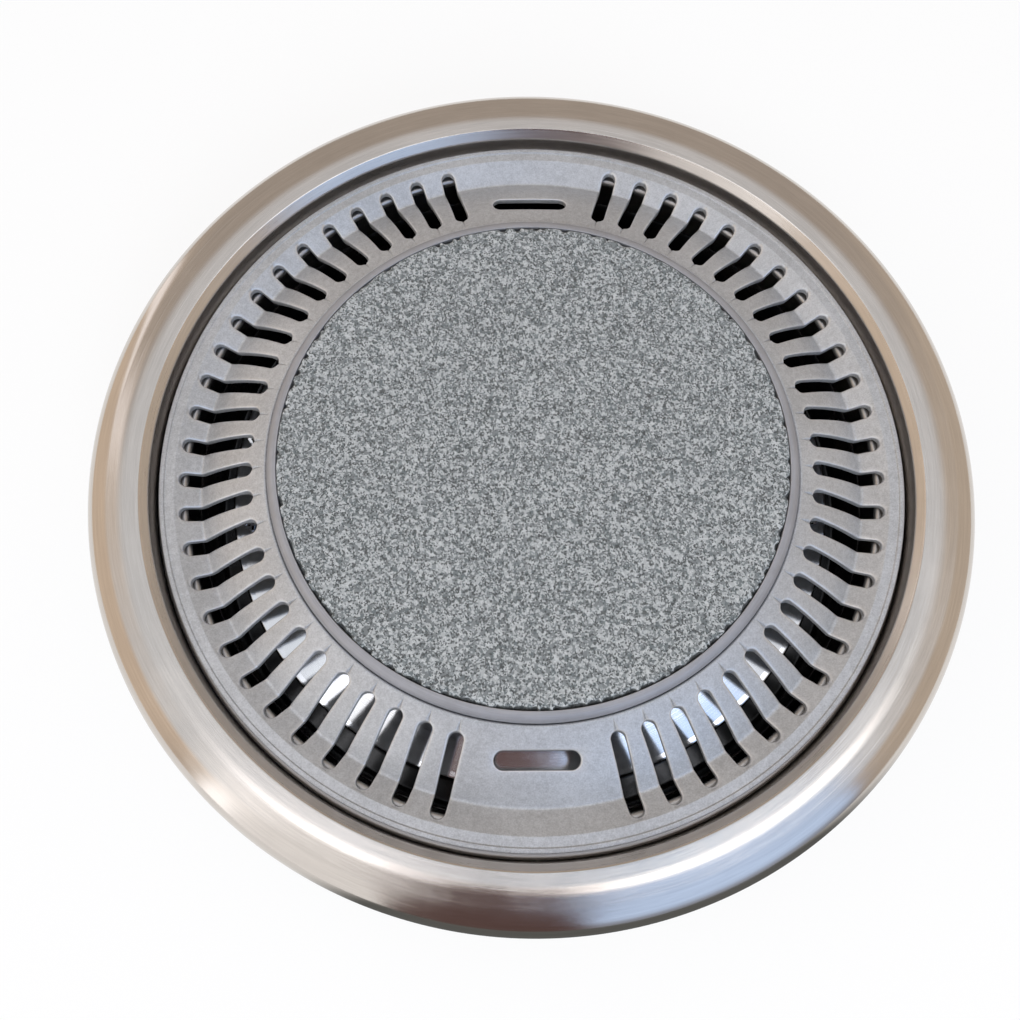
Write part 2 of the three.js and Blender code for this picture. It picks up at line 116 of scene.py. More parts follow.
def ellipse(centre, radii, start, end, steps):
    """Points of an ellipse between two angles: centre plus radii times cosine and sine."""
    return np.array(centre) + np.array(radii) * polar(1.0, np.linspace(start, end, steps + 1))


def sheet(path, thickness, side=1, cap_steps=4):
    """The closed outline of a bent sheet: the path, its parallel at one thickness, and round edges."""
    path = apart(path)
    run = unit(np.diff(path, axis=0))
    after = np.vstack([run, run[-1:]])
    tangent = unit(np.vstack([run[:1], run]) + after)
    normal = side * pair(-tangent[:, 1], tangent[:, 0])
    other = path + normal * thickness / np.sum(tangent * after, axis=1)[:, None]

    def cap(here, there, forward):
        t = np.linspace(0, math.pi, cap_steps + 2)[1:-1, None]
        across = (here - there) / thickness
        return (here + there) / 2 + thickness / 2 * (across * np.cos(t) + forward * np.sin(t))

    return np.vstack([
        path, cap(path[-1], other[-1], run[-1]), other[::-1], cap(other[0], path[0], -run[0]),
    ])


def reading(path, radius):
    """Height of a line at given radii."""
    order = np.argsort(path[:, 0], kind="stable")
    return np.interp(radius, path[order, 0], path[order, 1])


# ---------------------------------------------------------------------------------------------
# Surfaces


class Shell:
    """Grids of points that are welded into one closed mesh."""

    def __init__(self):
        self.points, self.quads, self.marks, self.count = [], [], [], 0

    def add(self, grid, wrap_rows=False, wrap_columns=False, mark=None):
        """Adds a grid of rows by columns of points, with a quad between neighbours."""
        rows, columns = grid.shape[:2]
        i = np.arange(rows if wrap_rows else rows - 1)[:, None]
        j = np.arange(columns if wrap_columns else columns - 1)[None, :]
        i2, j2 = (i + 1) % rows, (j + 1) % columns
        corners = [i * columns + j, i2 * columns + j, i2 * columns + j2, i * columns + j2]
        quads = np.stack(np.broadcast_arrays(*corners), -1).reshape(-1, 4)
        self.points.append(grid.reshape(-1, 3))
        self.quads.append(quads + self.count)
        self.marks.append(np.zeros(rows * columns) if mark is None else mark.reshape(-1))
        self.count += rows * columns
        return self

    def revolve(self, outline, steps, axis=(0.0, 0.0)):
        """A surface of revolution: radius times cosine and sine of the angle, and height."""
        t = np.arange(steps)[:, None] * 2 * math.pi / steps
        radius, height = np.asarray(outline, float).T
        grid = raised(np.array(axis) + polar(radius, t), height)
        return self.add(grid, wrap_rows=True, wrap_columns=True)

    def build(self, name, sharp_angle=40, place=None):
        """Welds the grids, points every face outwards, and links the finished piece."""
        points = np.concatenate(self.points)
        if place is not None:
            points = points @ np.array(place.to_3x3()).T + np.array(place.translation)
        mesh = bpy.data.meshes.new(name)
        mesh.from_pydata(points.tolist(), [], np.concatenate(self.quads).tolist())
        # Marks per point: wear on the plate's slot edges, and painted shade in the stone's chips.
        marks = mesh.attributes.new("wear_and_chip_shade", "FLOAT", "POINT")
        marks.data.foreach_set("value", np.concatenate(self.marks).astype(np.float32))
        work = bmesh.new()
        work.from_mesh(mesh)
        bmesh.ops.remove_doubles(work, verts=work.verts, dist=WELD)
        bmesh.ops.dissolve_degenerate(work, edges=work.edges, dist=WELD)
        bmesh.ops.recalc_face_normals(work, faces=work.faces)
        work.to_mesh(mesh)
        work.free()
        mesh.polygons.foreach_set("use_smooth", np.ones(len(mesh.polygons), bool))
        mesh.set_sharp_from_angle(angle=math.radians(sharp_angle))
        mesh.update()
        piece = bpy.data.objects.new(name, mesh)
        bpy.context.scene.collection.objects.link(piece)
        return piece


def dress(piece, body, slot, material, *nodes):
    """Gives a finished piece its material and its body, and hides the nodes that it stands for. The slot is
    not used.
    """
    piece.data.materials.append(material)
    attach(piece, body)
    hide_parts(*nodes)


# ---------------------------------------------------------------------------------------------
# Shader expressions


class Value:
    """A number socket. Arithmetic on it adds Math nodes."""

    def __init__(self, look, socket):
        self.look, self.socket = look, socket

    def math(self, operation, *others):
        node = self.look.node("ShaderNodeMath", {"operation": operation}, (self, *others))
        return Value(self.look, node.outputs[0])

    def __add__(self, other):
        return self.math("ADD", other)

    def __sub__(self, other):
        return self.math("SUBTRACT", other)

    def __rsub__(self, other):
        return (self * -1) + other

    def __mul__(self, other):
        return self.math("MULTIPLY", other)

    def __truediv__(self, other):
        return self.math("DIVIDE", other)

    def __pow__(self, other):
        return self.math("POWER", other)

    __radd__ = __add__
    __rmul__ = __mul__

    def clamp(self):
        return self.math("MAXIMUM", 0.0).math("MINIMUM", 1.0)

    def smooth(self, low, high):
        """A soft step: zero below low, one above high."""
        t = ((self - low) / (high - low)).clamp()
        return t * t * (3 - 2 * t)

    def panel(self, low, high, soft):
        """One between two values, zero outside them, with soft edges."""
        return self.smooth(low - soft, low + soft) * (1 - self.smooth(high - soft, high + soft))


class Look:
    """A material with a Principled shader, whose nodes are written as expressions."""

    def __init__(self, name, **constants):
        self.material = bpy.data.materials.new(name)
        self.start(self.material, "Object")
        self.shader = self.node("ShaderNodeBsdfPrincipled", {}, constants)
        self.output = self.node("ShaderNodeOutputMaterial", {}, {"Surface": self.shader.outputs[0]})

    def start(self, owner, coordinates):
        owner.use_nodes = True
        self.tree = owner.node_tree
        self.tree.nodes.clear()
        self.place = self.node("ShaderNodeTexCoord").outputs[coordinates]
        self.x, self.y, self.z = self.parts("ShaderNodeSeparateXYZ", self.place)

    def node(self, kind, settings=None, inputs=()):
        """Adds a node, sets it up, then gives its sockets their values or links."""
        node = self.tree.nodes.new(kind)
        for key, setting in (settings or {}).items():
            setattr(node, key, setting)
        for key, given in inputs.items() if isinstance(inputs, dict) else enumerate(inputs):
            self.feed(node.inputs[key], given)
        return node

    def feed(self, socket, given):
        given = given.socket if isinstance(given, Value) else given
        if isinstance(given, bpy.types.NodeSocket):
            self.tree.links.new(given, socket)
        elif socket.type == "RGBA":
            socket.default_value = (*given, 1.0)[:4]
        else:
            socket.default_value = given

    def parts(self, kind, socket):
        """The three numbers that a vector or a colour is made of."""
        return [Value(self, part) for part in self.node(kind, {}, [socket]).outputs]

    def noise(self, vector, scale, detail, roughness):
        inputs = {"Vector": vector, "Scale": scale, "Detail": detail, "Roughness": roughness}
        return Value(self, self.node("ShaderNodeTexNoise", {}, inputs).outputs[0])

    def cells(self, vector, scale):
        """Two random numbers for each Voronoi cell."""
        cell = self.node("ShaderNodeTexVoronoi", {}, {"Vector": vector, "Scale": scale}).outputs["Color"]
        return self.parts("ShaderNodeSeparateColor", cell)[:2]

    def wear_and_chip_shade(self):
        """How worn the surface is, and where the stone's chips are darkened as painted shade, from the mesh.
        """
        return Value(self, self.node("ShaderNodeAttribute", {"attribute_name": "wear_and_chip_shade"}).outputs["Fac"])

    def vector(self, x, y, z):
        return self.node("ShaderNodeCombineXYZ", {}, [x, y, z]).outputs[0]

    def mix(self, factor, first, second):
        """A colour between two colours."""
        node = self.node("ShaderNodeMix", {"data_type": "RGBA"}, {0: factor, 6: first, 7: second})
        return node.outputs[2]

    def radius(self):
        return (self.x * self.x + self.y * self.y) ** 0.5

    def bearing(self):
        """Direction in plan, in degrees from the front."""
        return self.x.math("ARCTAN2", self.y * -1) * math.degrees(1)

    def around(self, turns, fine):
        """Coordinates that follow the turning direction, so that noise on them is drawn out in rings."""
        r = self.radius()
        return self.vector(self.x / r * turns, self.y / r * turns, (r - 1.3 * self.z) * fine)

    def done(self, base, rough, height, strength, distance):
        """Links the colour, the roughness and the bump, and returns the material."""
        inputs = {"Strength": strength, "Distance": distance, "Height": height}
        bump = self.node("ShaderNodeBump", {}, inputs).outputs[0]
        for key, given in {"Base Color": base, "Roughness": rough, "Normal": bump}.items():
            self.feed(self.shader.inputs[key], given)
        return self.material


def scaled(colour, factor):
    return [min(part * factor, 1) for part in colour]


def brushed_steel(colours):
    """Trim steel: fine rings from the brushing, faint cloudy handling marks and a few longer scratches."""
    look = Look("trim_steel", Metallic=1.0)
    fine = look.noise(look.around(9, 4200), 1.0, 3, 0.7)
    broad = look.noise(look.around(5, 600), 1.0, 2, 0.6)
    clouds = look.noise(look.place, 22, 4, 0.6)
    scratch = look.noise(look.around(2.5, 2600), 1.0, 1, 0.4).smooth(0.71, 0.8)
    tone = (0.45 * fine + 0.25 * broad + 0.3 * clouds).smooth(0.3, 0.7)
    # The trim colour's beige tint is a painted reflection of a warm room.
    base = look.mix(tone, scaled(colours.trim, 0.9), scaled(colours.trim, 1.1))
    base = look.mix(scratch * 0.25, base, (0.8, 0.8, 0.8))
    brow = 1 - look.radius().smooth(0.1706, 0.1716)
    rough = 0.09 + 0.06 * fine + 0.06 * clouds.smooth(0.4, 0.75) + 0.16 * brow
    return look.done(base, rough, 0.7 * fine + 0.3 * broad + 0.4 * scratch, 0.12, 0.0001)


def satin_steel(colours):
    """Formed sheet steel of the bowl and its fittings: rings from spinning, and a cloudy satin."""
    look = Look("satin_steel", Metallic=1.0)
    rings = look.noise(look.around(3, 1400), 1.0, 3, 0.6)
    clouds = look.noise(look.place, 40, 5, 0.65)
    tone = (0.5 * rings + 0.5 * clouds).smooth(0.3, 0.7)
    base = look.mix(tone, scaled(colours.satin, 0.82), colours.satin)
    return look.done(base, 0.32 + 0.2 * clouds, rings, 0.25, 0.0001)


def polished_steel(colours):
    """Mirror-bright reflector steel with hairline rings and a faint straw tint near the fire."""
    look = Look("polished_steel", Metallic=1.0)
    rings = look.noise(look.around(4, 2600), 1.0, 2, 0.5)
    clouds = look.noise(look.place, 30, 4, 0.6)
    heat = (1 - look.radius().smooth(0.078, 0.115)) * (0.4 + 0.6 * clouds)
    base = look.mix(heat * 0.45, colours.polished, (0.74, 0.6, 0.42))
    rough = 0.06 + 0.1 * clouds.smooth(0.45, 0.8) + 0.05 * rings
    return look.done(base, rough, rings, 0.08, 0.0001)


def cast_aluminium(colours):
    """Matt casting: a fine sandy grain, slight tone clouds, and worn bright spots on raised edges."""
    look = Look("cast_aluminium", Metallic=0.62)
    grain = look.noise(look.place, 1500, 2, 0.6)
    sand = look.noise(look.place, 420, 3, 0.65)
    clouds = look.noise(look.place, 24, 4, 0.6)
    tone = (0.4 * grain + 0.3 * sand + 0.3 * clouds).smooth(0.32, 0.68)
    base = look.mix(tone, scaled(colours.casting, 0.78), scaled(colours.casting, 1.18))
    worn = look.wear_and_chip_shade()
    base = look.mix((worn * (0.5 + 0.5 * sand)).clamp(), base, colours.worn)
    rough = 0.48 - 0.14 * worn + 0.1 * (clouds - 0.5)
    return look.done(base, rough, 0.6 * grain + 0.4 * sand, 0.5, 0.00018)


def hoop_metal(colours):
    """The hoop round the stone: matt metal with turned rings and scuffs."""
    look = Look("hoop_metal", Metallic=0.65)
    rings = look.noise(look.around(6, 2400), 1.0, 3, 0.7)
    clouds = look.noise(look.place, 60, 4, 0.7)
    tone = (0.5 * rings + 0.5 * clouds).smooth(0.3, 0.7)
    base = look.mix(tone, scaled(colours.hoop, 0.78), colours.hoop)
    return look.done(base, 0.45 + 0.2 * clouds, rings, 0.3, 0.00012)


def granite(colours):
    """Granite: pale feldspar, grey-green ground and small black mica, each as cells of its own size."""
    look = Look("granite", IOR=1.5)
    turned = {"Vector": look.place, "Rotation": (0.3, 0.2, 0.4)}
    place = look.node("ShaderNodeMapping", {}, turned).outputs[0]
    drift = look.noise(place, 260, 2, 0.5)
    shift = look.vector(drift * 0.0016, drift * -0.0012, drift * 0.001)
    warp = look.node("ShaderNodeVectorMath", {"operation": "ADD"}, [place, shift]).outputs[0]
    large, large2 = look.cells(warp, 680)
    small, small2 = look.cells(warp, 1500)
    clouds = look.noise(place, 55, 3, 0.6)
    base = look.mix(clouds.smooth(0.3, 0.7), colours.stone, scaled(colours.stone, 0.85))
    base = look.mix(large.smooth(0.5, 0.62) * 0.5, base, colours.feldspar)
    base = look.mix(large2.smooth(0.66, 0.72) * 0.6, base, colours.green)
    base = look.mix(small.smooth(0.66, 0.7) * 0.55, base, colours.feldspar)
    base = look.mix(small2.smooth(0.76, 0.8) * 0.85, base, colours.mica)
    # The chips along the edge are darkened towards black mica: painted shade in their pits.
    base = look.mix(look.wear_and_chip_shade().smooth(0.15, 0.6) * 0.85, base, scaled(colours.mica, 0.5))
    rough = 0.72 - 0.25 * small2.smooth(0.78, 0.82) + 0.1 * small
    return look.done(base, rough, 0.5 * small + 0.5 * look.noise(place, 900, 3, 0.6), 0.3, 0.00025)


def black_enamel_and_shade(colours):
    """Glossy black enamel with orange peel, tiny pits and a thin brown haze of baked fat. Its near-black
    colour also paints the shade deep in the trough.
    """
    look = Look("black_enamel_and_shade", **{"Coat Roughness": 0.08, "Metallic": 0.0, "IOR": 1.52})
    peel = look.noise(look.place, 320, 2, 0.5)
    pits = 1 - look.noise(look.place, 1400, 1, 0.4).smooth(0.24, 0.34)
    haze = look.noise(look.place, 35, 5, 0.65).smooth(0.45, 0.8)
    base = look.mix(haze * 0.5, colours.enamel, (0.045, 0.028, 0.016))
    return look.done(base, 0.18 + 0.3 * haze, 0.7 * peel - 0.3 * pits, 0.15, 0.0002)


# ---------------------------------------------------------------------------------------------
# Sizes and colours that a user can change


def length(name, description, millimetres):
    return FloatProperty(name=name, description=description, default=millimetres * MM, min=0.0,
                         unit="LENGTH", subtype="DISTANCE", precision=5)


def share(name, description, default):
    return FloatProperty(name=name, description=description, default=default)


def colour(name, description, *default):
    return FloatVectorProperty(name=name, description=description, default=default, size=3,
                               min=0.0, max=1.0, subtype="COLOR")


class PanLevels(PropertyGroup):
    """Heights above the table on which the layers of the pan are set."""
    floor: length("Bowl floor", "Underside of the bowl's floor", 14.0)
    tray: length("Trough", "Underside of the drip trough", 15.5)
    reflector: length("Reflector", "Underside of the reflector's hook", 36.8)
    rivets: length("Rivets", "Centre line of the rivets", 55.2)
    seat: length("Seat", "Top of the ledge under the plate", 61.6)
    plate: length("Plate", "Top of the plate's outer edge", 68.1)
    stone: length("Stone", "Underside of the stone and its hoop", 66.9)


class RingSizes(PropertyGroup):
    """Section of the trim ring."""
    sheet: length("Sheet", "Thickness of the sheet", 1.2)
    skirt_radius: length("Skirt radius", "Inner radius of the ring", 168.2)
    skirt_drop: length("Skirt drop", "Depth of the skirt under the plate's edge", 20.0)
    lip_rise: length("Lip rise", "Height over the plate's edge at which the skirt turns outwards", 4.9)
    lip_radius: length("Lip radius", "Rounding of the skirt's top and of the brow", 1.4)
    brow_width: length("Brow width", "Width of the steep inner face", 3.0)
    brow_rise: length("Brow rise", "Height of the brow over the plate's edge", 6.7)
    nose_inner: length("Nose inner width", "Width from the brow to the crest", 13.5)
    nose_outer: length("Nose outer width", "Width from the crest to the outermost line", 10.9)
    nose_fall: length("Nose fall", "Depth of the outermost line under the plate's edge", 2.3)
    nose_slope: share("Nose slope", "Slope outside the brow", 0.15)
    nose_bend: share("Nose bend", "Share of the rise that is an even slope", 0.3)
    nose_fade: share("Nose fade", "Share of the rise that bends level", 0.46)
    steps: IntProperty(name="Steps", description="Divisions round the ring", default=320, min=24)


class PlateSizes(PropertyGroup):
    """Section and cut-outs of the cast plate."""
    recess: length("Recess radius", "Radius of the opening round the stone and its hoop", 116.0)
    shoulder: length("Shoulder", "Height of the dome's shoulder over the plate's edge", 8.8)
    valley_radius: length("Valley radius", "Radius of the crease", 148.0)
    valley: length("Valley", "Depth of the crease under the plate's edge", 6.0)
    bulge: length("Bulge", "Rise of the dome over a straight cone", 2.0)
    flange_radius: length("Flange radius", "Inner radius of the flat flange", 158.6)
    radius: length("Plate radius", "Outer radius of the plate", 165.0)
    bead: length("Bead", "Width of the raised bead at the edge", 2.4)
    bead_height: length("Bead height", "Height of the bead over the flange", 0.6)
    wall: length("Wall", "Thickness of the casting", 3.0)
    rim: length("Rim", "Thickness of the plate's edge", 6.2)
    rim_width: length("Rim width", "Width of the thick edge", 5.6)
    ledge: length("Ledge", "Width of the ledge under the stone", 13.0)
    slot_inner: length("Slot start", "Inner radius of the slots", 122.7)
    slot_outer: length("Slot end", "Outer radius of the slots", 157.0)
    slot_width: length("Slot width", "Width of the slots", 6.2)
    slot_edge: length("Slot edge", "Rounding of the slots' upper edges", 0.8)
    tail: length("Tail", "Length of the groove inside each slot", 4.8)
    tail_width: length("Tail width", "Width of the groove at the slot", 1.7)
    tail_depth: length("Tail depth", "Depth of the groove at the slot", 0.9)
    tool_radius: length("Tool slot radius", "Distance of the tool slots from the centre", 129.6)
    tool_length: length("Tool slot length", "Length of the tool slots", 35.0)
    tool_width: length("Tool slot width", "Width of the tool slots", 7.6)


class StoneSizes(PropertyGroup):
    """The stone and its hoop."""
    radius: length("Stone radius", "Radius of the stone", 110.8)
    thickness: length("Stone thickness", "Thickness of the stone", 14.0)
    edge: length("Stone edge", "Wear of the stone's upper edge", 0.7)
    chip: length("Chips", "Depth of the largest chips along the edge", 1.5)
    hoop: length("Hoop width", "Width of the hoop", 4.6)
    hoop_drop: length("Hoop drop", "Height of the hoop's rounded shoulder", 3.4)
    hoop_land: length("Hoop land", "Width of the flat at the top of the hoop", 1.2)
    hoop_sink: length("Hoop sink", "Depth of the hoop's top under the stone's top", 0.2)


class BowlSizes(PropertyGroup):
    """The bowl, the seat and what joins and carries them."""
    sheet: length("Sheet", "Thickness of the bowl and the seat", 1.2)
    fire_hole: length("Fire hole", "Radius of the hole in the floor", 88.0)
    fire_rim: length("Fire rim", "Height of the rim round the fire hole", 2.0)
    floor_radius: length("Floor radius", "Radius at which the wall leaves the floor", 158.0)
    band_radius: length("Band radius", "Outer radius of the upright band", 170.9)
    band_foot: length("Band foot", "Lower edge of the band over the table", 46.6)
    band_top: length("Band top", "Upper edge of the band over the table", 60.6)
    seat_radius: length("Seat radius", "Inner radius of the seat", 154.7)
    seat_leg: length("Seat leg radius", "Outer radius of the seat's leg", 167.9)
    seat_drop: length("Seat leg", "Height of the seat's leg", 11.5)
    seat_lip: length("Seat lip", "Height of the seat's turned-down lip", 2.5)
    foot_circle: length("Foot circle", "Distance of the feet from the centre", 118.0)
    foot_height: length("Foot height", "Height of a foot", 13.7)
    rivet_head: length("Rivet head", "Radius of a rivet's head", 4.0)


class TroughSizes(PropertyGroup):
    """The drip trough, the reflector and its bails."""
    collar: length("Collar radius", "Inner radius of the trough's collar", 138.5)
    collar_height: length("Collar height", "Height of the collar", 21.0)
    trough_radius: length("Trough radius", "Outer radius of the trough's floor", 152.5)
    trough_height: length("Trough height", "Height of the outer wall", 30.0)
    flare: length("Flare", "Lean of the outer wall", 1.2)
    sheet: length("Sheet", "Thickness of the trough", 1.0)
    mirror_sheet: length("Mirror sheet", "Thickness of the reflector", 0.8)
    hook: length("Hook radius", "Outer radius of the reflector's hook", 140.6)
    hook_height: length("Hook height", "Height of the hook", 4.0)
    cone: length("Cone radius", "Radius at which the cone starts to rise", 137.4)
    rise: length("Rise", "Rise of the cone towards the flame", 3.0)
    fire_collar: length("Fire collar", "Radius of the collar round the flame", 80.0)
    fire_collar_height: length("Fire collar height", "Height of that collar", 20.0)
    bail_wire: length("Bail wire", "Radius of the bails' wire", 1.5)
    bail_span: length("Bail span", "Distance between a bail's arms", 36.0)
    bail_length: length("Bail length", "Length of a bail's arms", 20.0)
    bail_radius: length("Bail pivot radius", "Distance of the pivots from the centre", 131.0)
    bail_rise: length("Bail rise", "Height of the pivots over the cone", 5.0)


class FinishColours(PropertyGroup):
    """Colours of the finishes, as linear values."""
    # Warmer than bare steel: the beige tint paints the warm room that the ring reflects.
    trim: colour("Trim steel", "Brushed steel of the ring", 0.62, 0.575, 0.53)
    satin: colour("Satin steel", "Steel of the bowl, seat and fittings", 0.58, 0.56, 0.54)
    polished: colour("Polished steel", "Steel of the reflector and bails", 0.8, 0.81, 0.83)
    casting: colour("Casting", "Cast aluminium of the plate", 0.535, 0.547, 0.562)
    worn: colour("Worn casting", "Bright metal on worn edges", 0.78, 0.78, 0.79)
    hoop: colour("Hoop", "Metal of the hoop", 0.455, 0.46, 0.487)
    stone: colour("Stone", "Ground colour of the granite", 0.215, 0.235, 0.24)
    feldspar: colour("Feldspar", "Pale grains of the granite", 0.62, 0.645, 0.65)
    green: colour("Green grain", "Grey-green grains of the granite", 0.12, 0.145, 0.15)
    mica: colour("Mica", "Dark grains of the granite", 0.045, 0.05, 0.05)
    # Near black, which also paints the shade deep in the trough.
    enamel: colour("Enamel", "Black enamel of the trough", 0.008, 0.008, 0.009)
    floor: colour("Floor", "Studio floor", 0.72, 0.72, 0.72)


GROUPS = {
    "pan_levels": PanLevels, "ring_sizes": RingSizes, "plate_sizes": PlateSizes,
    "stone_sizes": StoneSizes, "bowl_sizes": BowlSizes, "trough_sizes": TroughSizes,
    "finish_colours": FinishColours,
}


# ---------------------------------------------------------------------------------------------
# Trim ring, seat, bowl and fittings


class PAN_OT_trim_ring(Operator):
    """Make the bull-nosed trim ring of brushed steel"""
    bl_idname = "pan.trim_ring"
    bl_label = "Trim ring"

    # Steps of the rise to the crest, how many of them the brow's line takes up, and steps of the nose.
    rise_steps, brow_steps, nose_steps = 60, 12, 34
    nose_end = -math.pi / 3

    def execute(self, context):
        scene = context.scene
        sizes = scene.ring_sizes
        ring = Shell().revolve(self.outline(sizes, scene.pan_levels.plate), sizes.steps).build("trim_ring")
        dress(ring, "base", "brushed_steel", brushed_steel(scene.finish_colours), "rim_ring")
        return {"FINISHED"}

    def outline(self, s, level):
        """Skirt, steep inner brow, a gentle slope that fades to level, then an elliptical bull nose.

        The slope is even up to nose_bend of the way to the crest and fades over nose_fade of it by a soft
        step. Its heights are its running sum times the width.
        """
        foot = (s.skirt_radius, level - s.skirt_drop)
        bend = (s.skirt_radius, level + s.lip_rise - s.lip_radius)
        brow = np.array((s.skirt_radius + s.brow_width, level + s.brow_rise))
        t = np.linspace(0, 1, self.rise_steps + 1)
        fade = ((t - s.nose_bend) / s.nose_fade).clip(0, 1)
        slope = s.nose_slope * (1 - fade * fade * (3 - 2 * fade))
        height = np.r_[0, np.cumsum((slope[1:] + slope[:-1]) / 2) * t[1]] * s.nose_inner
        rise = brow + pair(s.nose_inner * t, height)
        inner = fillet([foot, bend, brow, rise[self.brow_steps]], [s.lip_radius, s.lip_radius], steps=9)
        crest = rise[-1]
        centre = (crest[0], level - s.nose_fall)
        radii = (s.nose_outer, crest[1] - centre[1])
        nose = ellipse(centre, radii, math.pi / 2, self.nose_end, self.nose_steps)
        return sheet(np.vstack([inner, rise[self.brow_steps + 1:-1], nose]), s.sheet, side=-1)


class PAN_OT_bowl(Operator):
    """Make the spun bowl and the seat under the plate"""
    bl_idname = "pan.bowl"
    bl_label = "Bowl and seat"

    steps = 256
    bowl_bends = np.array([2, 6, 3]) * MM
    seat_bends = np.array([1.6, 1.6]) * MM

    def execute(self, context):
        scene = context.scene
        s, level = scene.bowl_sizes, scene.pan_levels
        satin = satin_steel(scene.finish_colours)
        path = fillet([
            (s.fire_hole, level.floor + s.sheet + s.fire_rim), (s.fire_hole, level.floor),
            (s.floor_radius, level.floor), (s.band_radius, s.band_foot), (s.band_radius, s.band_top),
        ], self.bowl_bends, steps=8)
        bowl = Shell().revolve(sheet(path, s.sheet), self.steps).build("bowl")
        dress(bowl, "base", "satin_steel", satin, "base_bowl")
        path = fillet([
            (s.seat_radius, level.seat - s.seat_lip), (s.seat_radius, level.seat),
            (s.seat_leg, level.seat), (s.seat_leg, level.seat - s.seat_drop),
        ], self.seat_bends, steps=6)
        seat = Shell().revolve(sheet(path, s.sheet, side=-1), self.steps).build("seat")
        dress(seat, "base", "satin_steel", satin, "plate_seat")
        return {"FINISHED"}


def bolt_outline(radius, head_radius, head_height, bottom, head_foot, crown=0.35):
    """Half section of a headed pin: a straight shank and a head with a flat skirt and a domed crown."""
    edge = head_height * crown
    dome = ellipse((0.0, head_foot + edge), (head_radius, head_height - edge), 0.0, math.pi / 2, 8)
    return np.vstack([
        (0.0, bottom), (radius * 0.8, bottom), (radius, bottom + radius * 0.2),
        (radius, head_foot), (head_radius * 0.96, head_foot), (head_radius, head_foot + edge * 0.3), dome,
    ])


class PAN_OT_fittings(Operator):
    """Make the feet with their screws and the rivets of the ring"""
    bl_idname = "pan.fittings"
    bl_label = "Feet, screws and rivets"

    feet, rivets = 4, 6
    # A foot's turned side from its sole up, its radius at the top, and its bore's radius and depth.
    foot_side = np.array([(0, 0), (9, 0), (9.3, 3), (10.2, 6)]) * MM
    foot_top, bore, bore_depth = 11 * MM, 2.3 * MM, 8.7 * MM
    foot_bends = np.array([1, 4, 4, 0.5, 0.2, 0.2]) * MM
    # Radius, head radius, head height and lower end of a screw, and how far its head stands off the floor.
    screw, screw_stand = np.array([2, 4.5, 2.4, 6.5]) * MM, 1.5 * MM
    # Radius and head height of a rivet, how far its shank reaches into its shop head, and that head.
    rivet, rivet_crown, rivet_reach, shop = 1.9 * MM, 1.8 * MM, 0.4 * MM, 1.8 * MM
    shop_bends = np.array([0.5, 0.2]) * MM

    def execute(self, context):
        scene = context.scene
        s, level = scene.bowl_sizes, scene.pan_levels
        satin = bpy.data.materials.get("satin_steel") or satin_steel(scene.finish_colours)
        top, low = s.foot_height, s.foot_height - self.bore_depth
        side = [*self.foot_side, (self.foot_top, top), (self.bore, top), (self.bore, low), (0.0, low)]
        outline = fillet(side, self.foot_bends, steps=4)
        bolt = bolt_outline(*self.screw, level.floor + self.screw_stand)
        for i in range(self.feet):
            axis = polar(s.foot_circle, 2 * math.pi * (i + 0.5) / self.feet)
            foot = Shell().revolve(outline, 48, axis).build(f"turned_foot_{i + 1}")
            dress(foot, "base", "satin_steel", satin, f"foot_{i + 1}")
            screw = Shell().revolve(bolt, 32, axis).build(f"foot_bolt_{i + 1}")
            dress(screw, "base", "satin_steel", satin, f"foot_screw_{i + 1}")
        inside, outside = s.seat_leg - s.sheet - FIT, s.band_radius + FIT
        pin = bolt_outline(self.rivet, s.rivet_head, self.rivet_crown, inside - self.rivet_reach, outside)
        end = inside - self.shop
        head = fillet([(0.0, end), (s.rivet_head, end), (s.rivet_head, inside), (0.0, inside)],
                      self.shop_bends, steps=3)
        for i in range(self.rivets):
            turn = Matrix.Rotation(2 * math.pi * (i + 0.5) / self.rivets, 4, "Z")
            place = turn @ Matrix.Rotation(math.pi / 2, 4, "Y")
            place.translation = (0.0, 0.0, level.rivets)
            rivet = Shell().revolve(pin, 28).revolve(head, 28).build(f"band_rivet_{i + 1}", place=place)
            dress(rivet, "base", "satin_steel", satin, f"ring_rivet_{i + 1}")
        return {"FINISHED"}


# ---------------------------------------------------------------------------------------------
# Trough, reflector and bails


class PAN_OT_trough(Operator):
    """Make the black drip trough"""
    bl_idname = "pan.trough"
    bl_label = "Drip trough"

    bends = np.array([3, 3]) * MM

    def execute(self, context):
        scene = context.scene
        s, z = scene.trough_sizes, scene.pan_levels.tray
        path = fillet([
            (s.collar, z + s.collar_height), (s.collar, z), (s.trough_radius, z),
            (s.trough_radius + s.flare, z + s.trough_height),
        ], self.bends, steps=7)
        trough = Shell().revolve(sheet(path, s.sheet), 256).build("drip_trough")
        dress(trough, "tray", "dark_enamel", black_enamel_and_shade(scene.finish_colours), "drip_tray")
        return {"FINISHED"}


def cone_height(s, radius):
    """Height of the cone's upper face over the hook's underside, a straight line in the radius."""
    return s.mirror_sheet + s.rise * (s.cone - radius) / (s.cone - s.fire_collar)


def ear_grid(half_width, foot, eye, thickness, steps=40):
    """A tab round an eye: rays from the eye's circle to an outline with a round top and straight sides.

    Along each ray the section is a flat plate with its outer edge cut off over a fifth of the thickness.
    """
    t = np.linspace(0, 2 * math.pi, steps, endpoint=False)[:, None]
    side = half_width / np.maximum(np.abs(np.cos(t)), 1e-6)
    down = foot / np.maximum(-np.sin(t), 1e-6)
    reach = np.where(np.sin(t) >= 0, half_width, np.minimum(np.minimum(side, down), half_width * 2.2))
    cut, half = thickness * 0.2, thickness / 2
    inner = np.full_like(t, eye)
    r = np.concatenate([inner, inner, reach - cut, reach, reach, reach - cut], 1)
    y = np.array([-half, half, half, half - cut, cut - half, -half]) + 0 * t
    return np.stack([r * np.cos(t), y, r * np.sin(t)], -1)


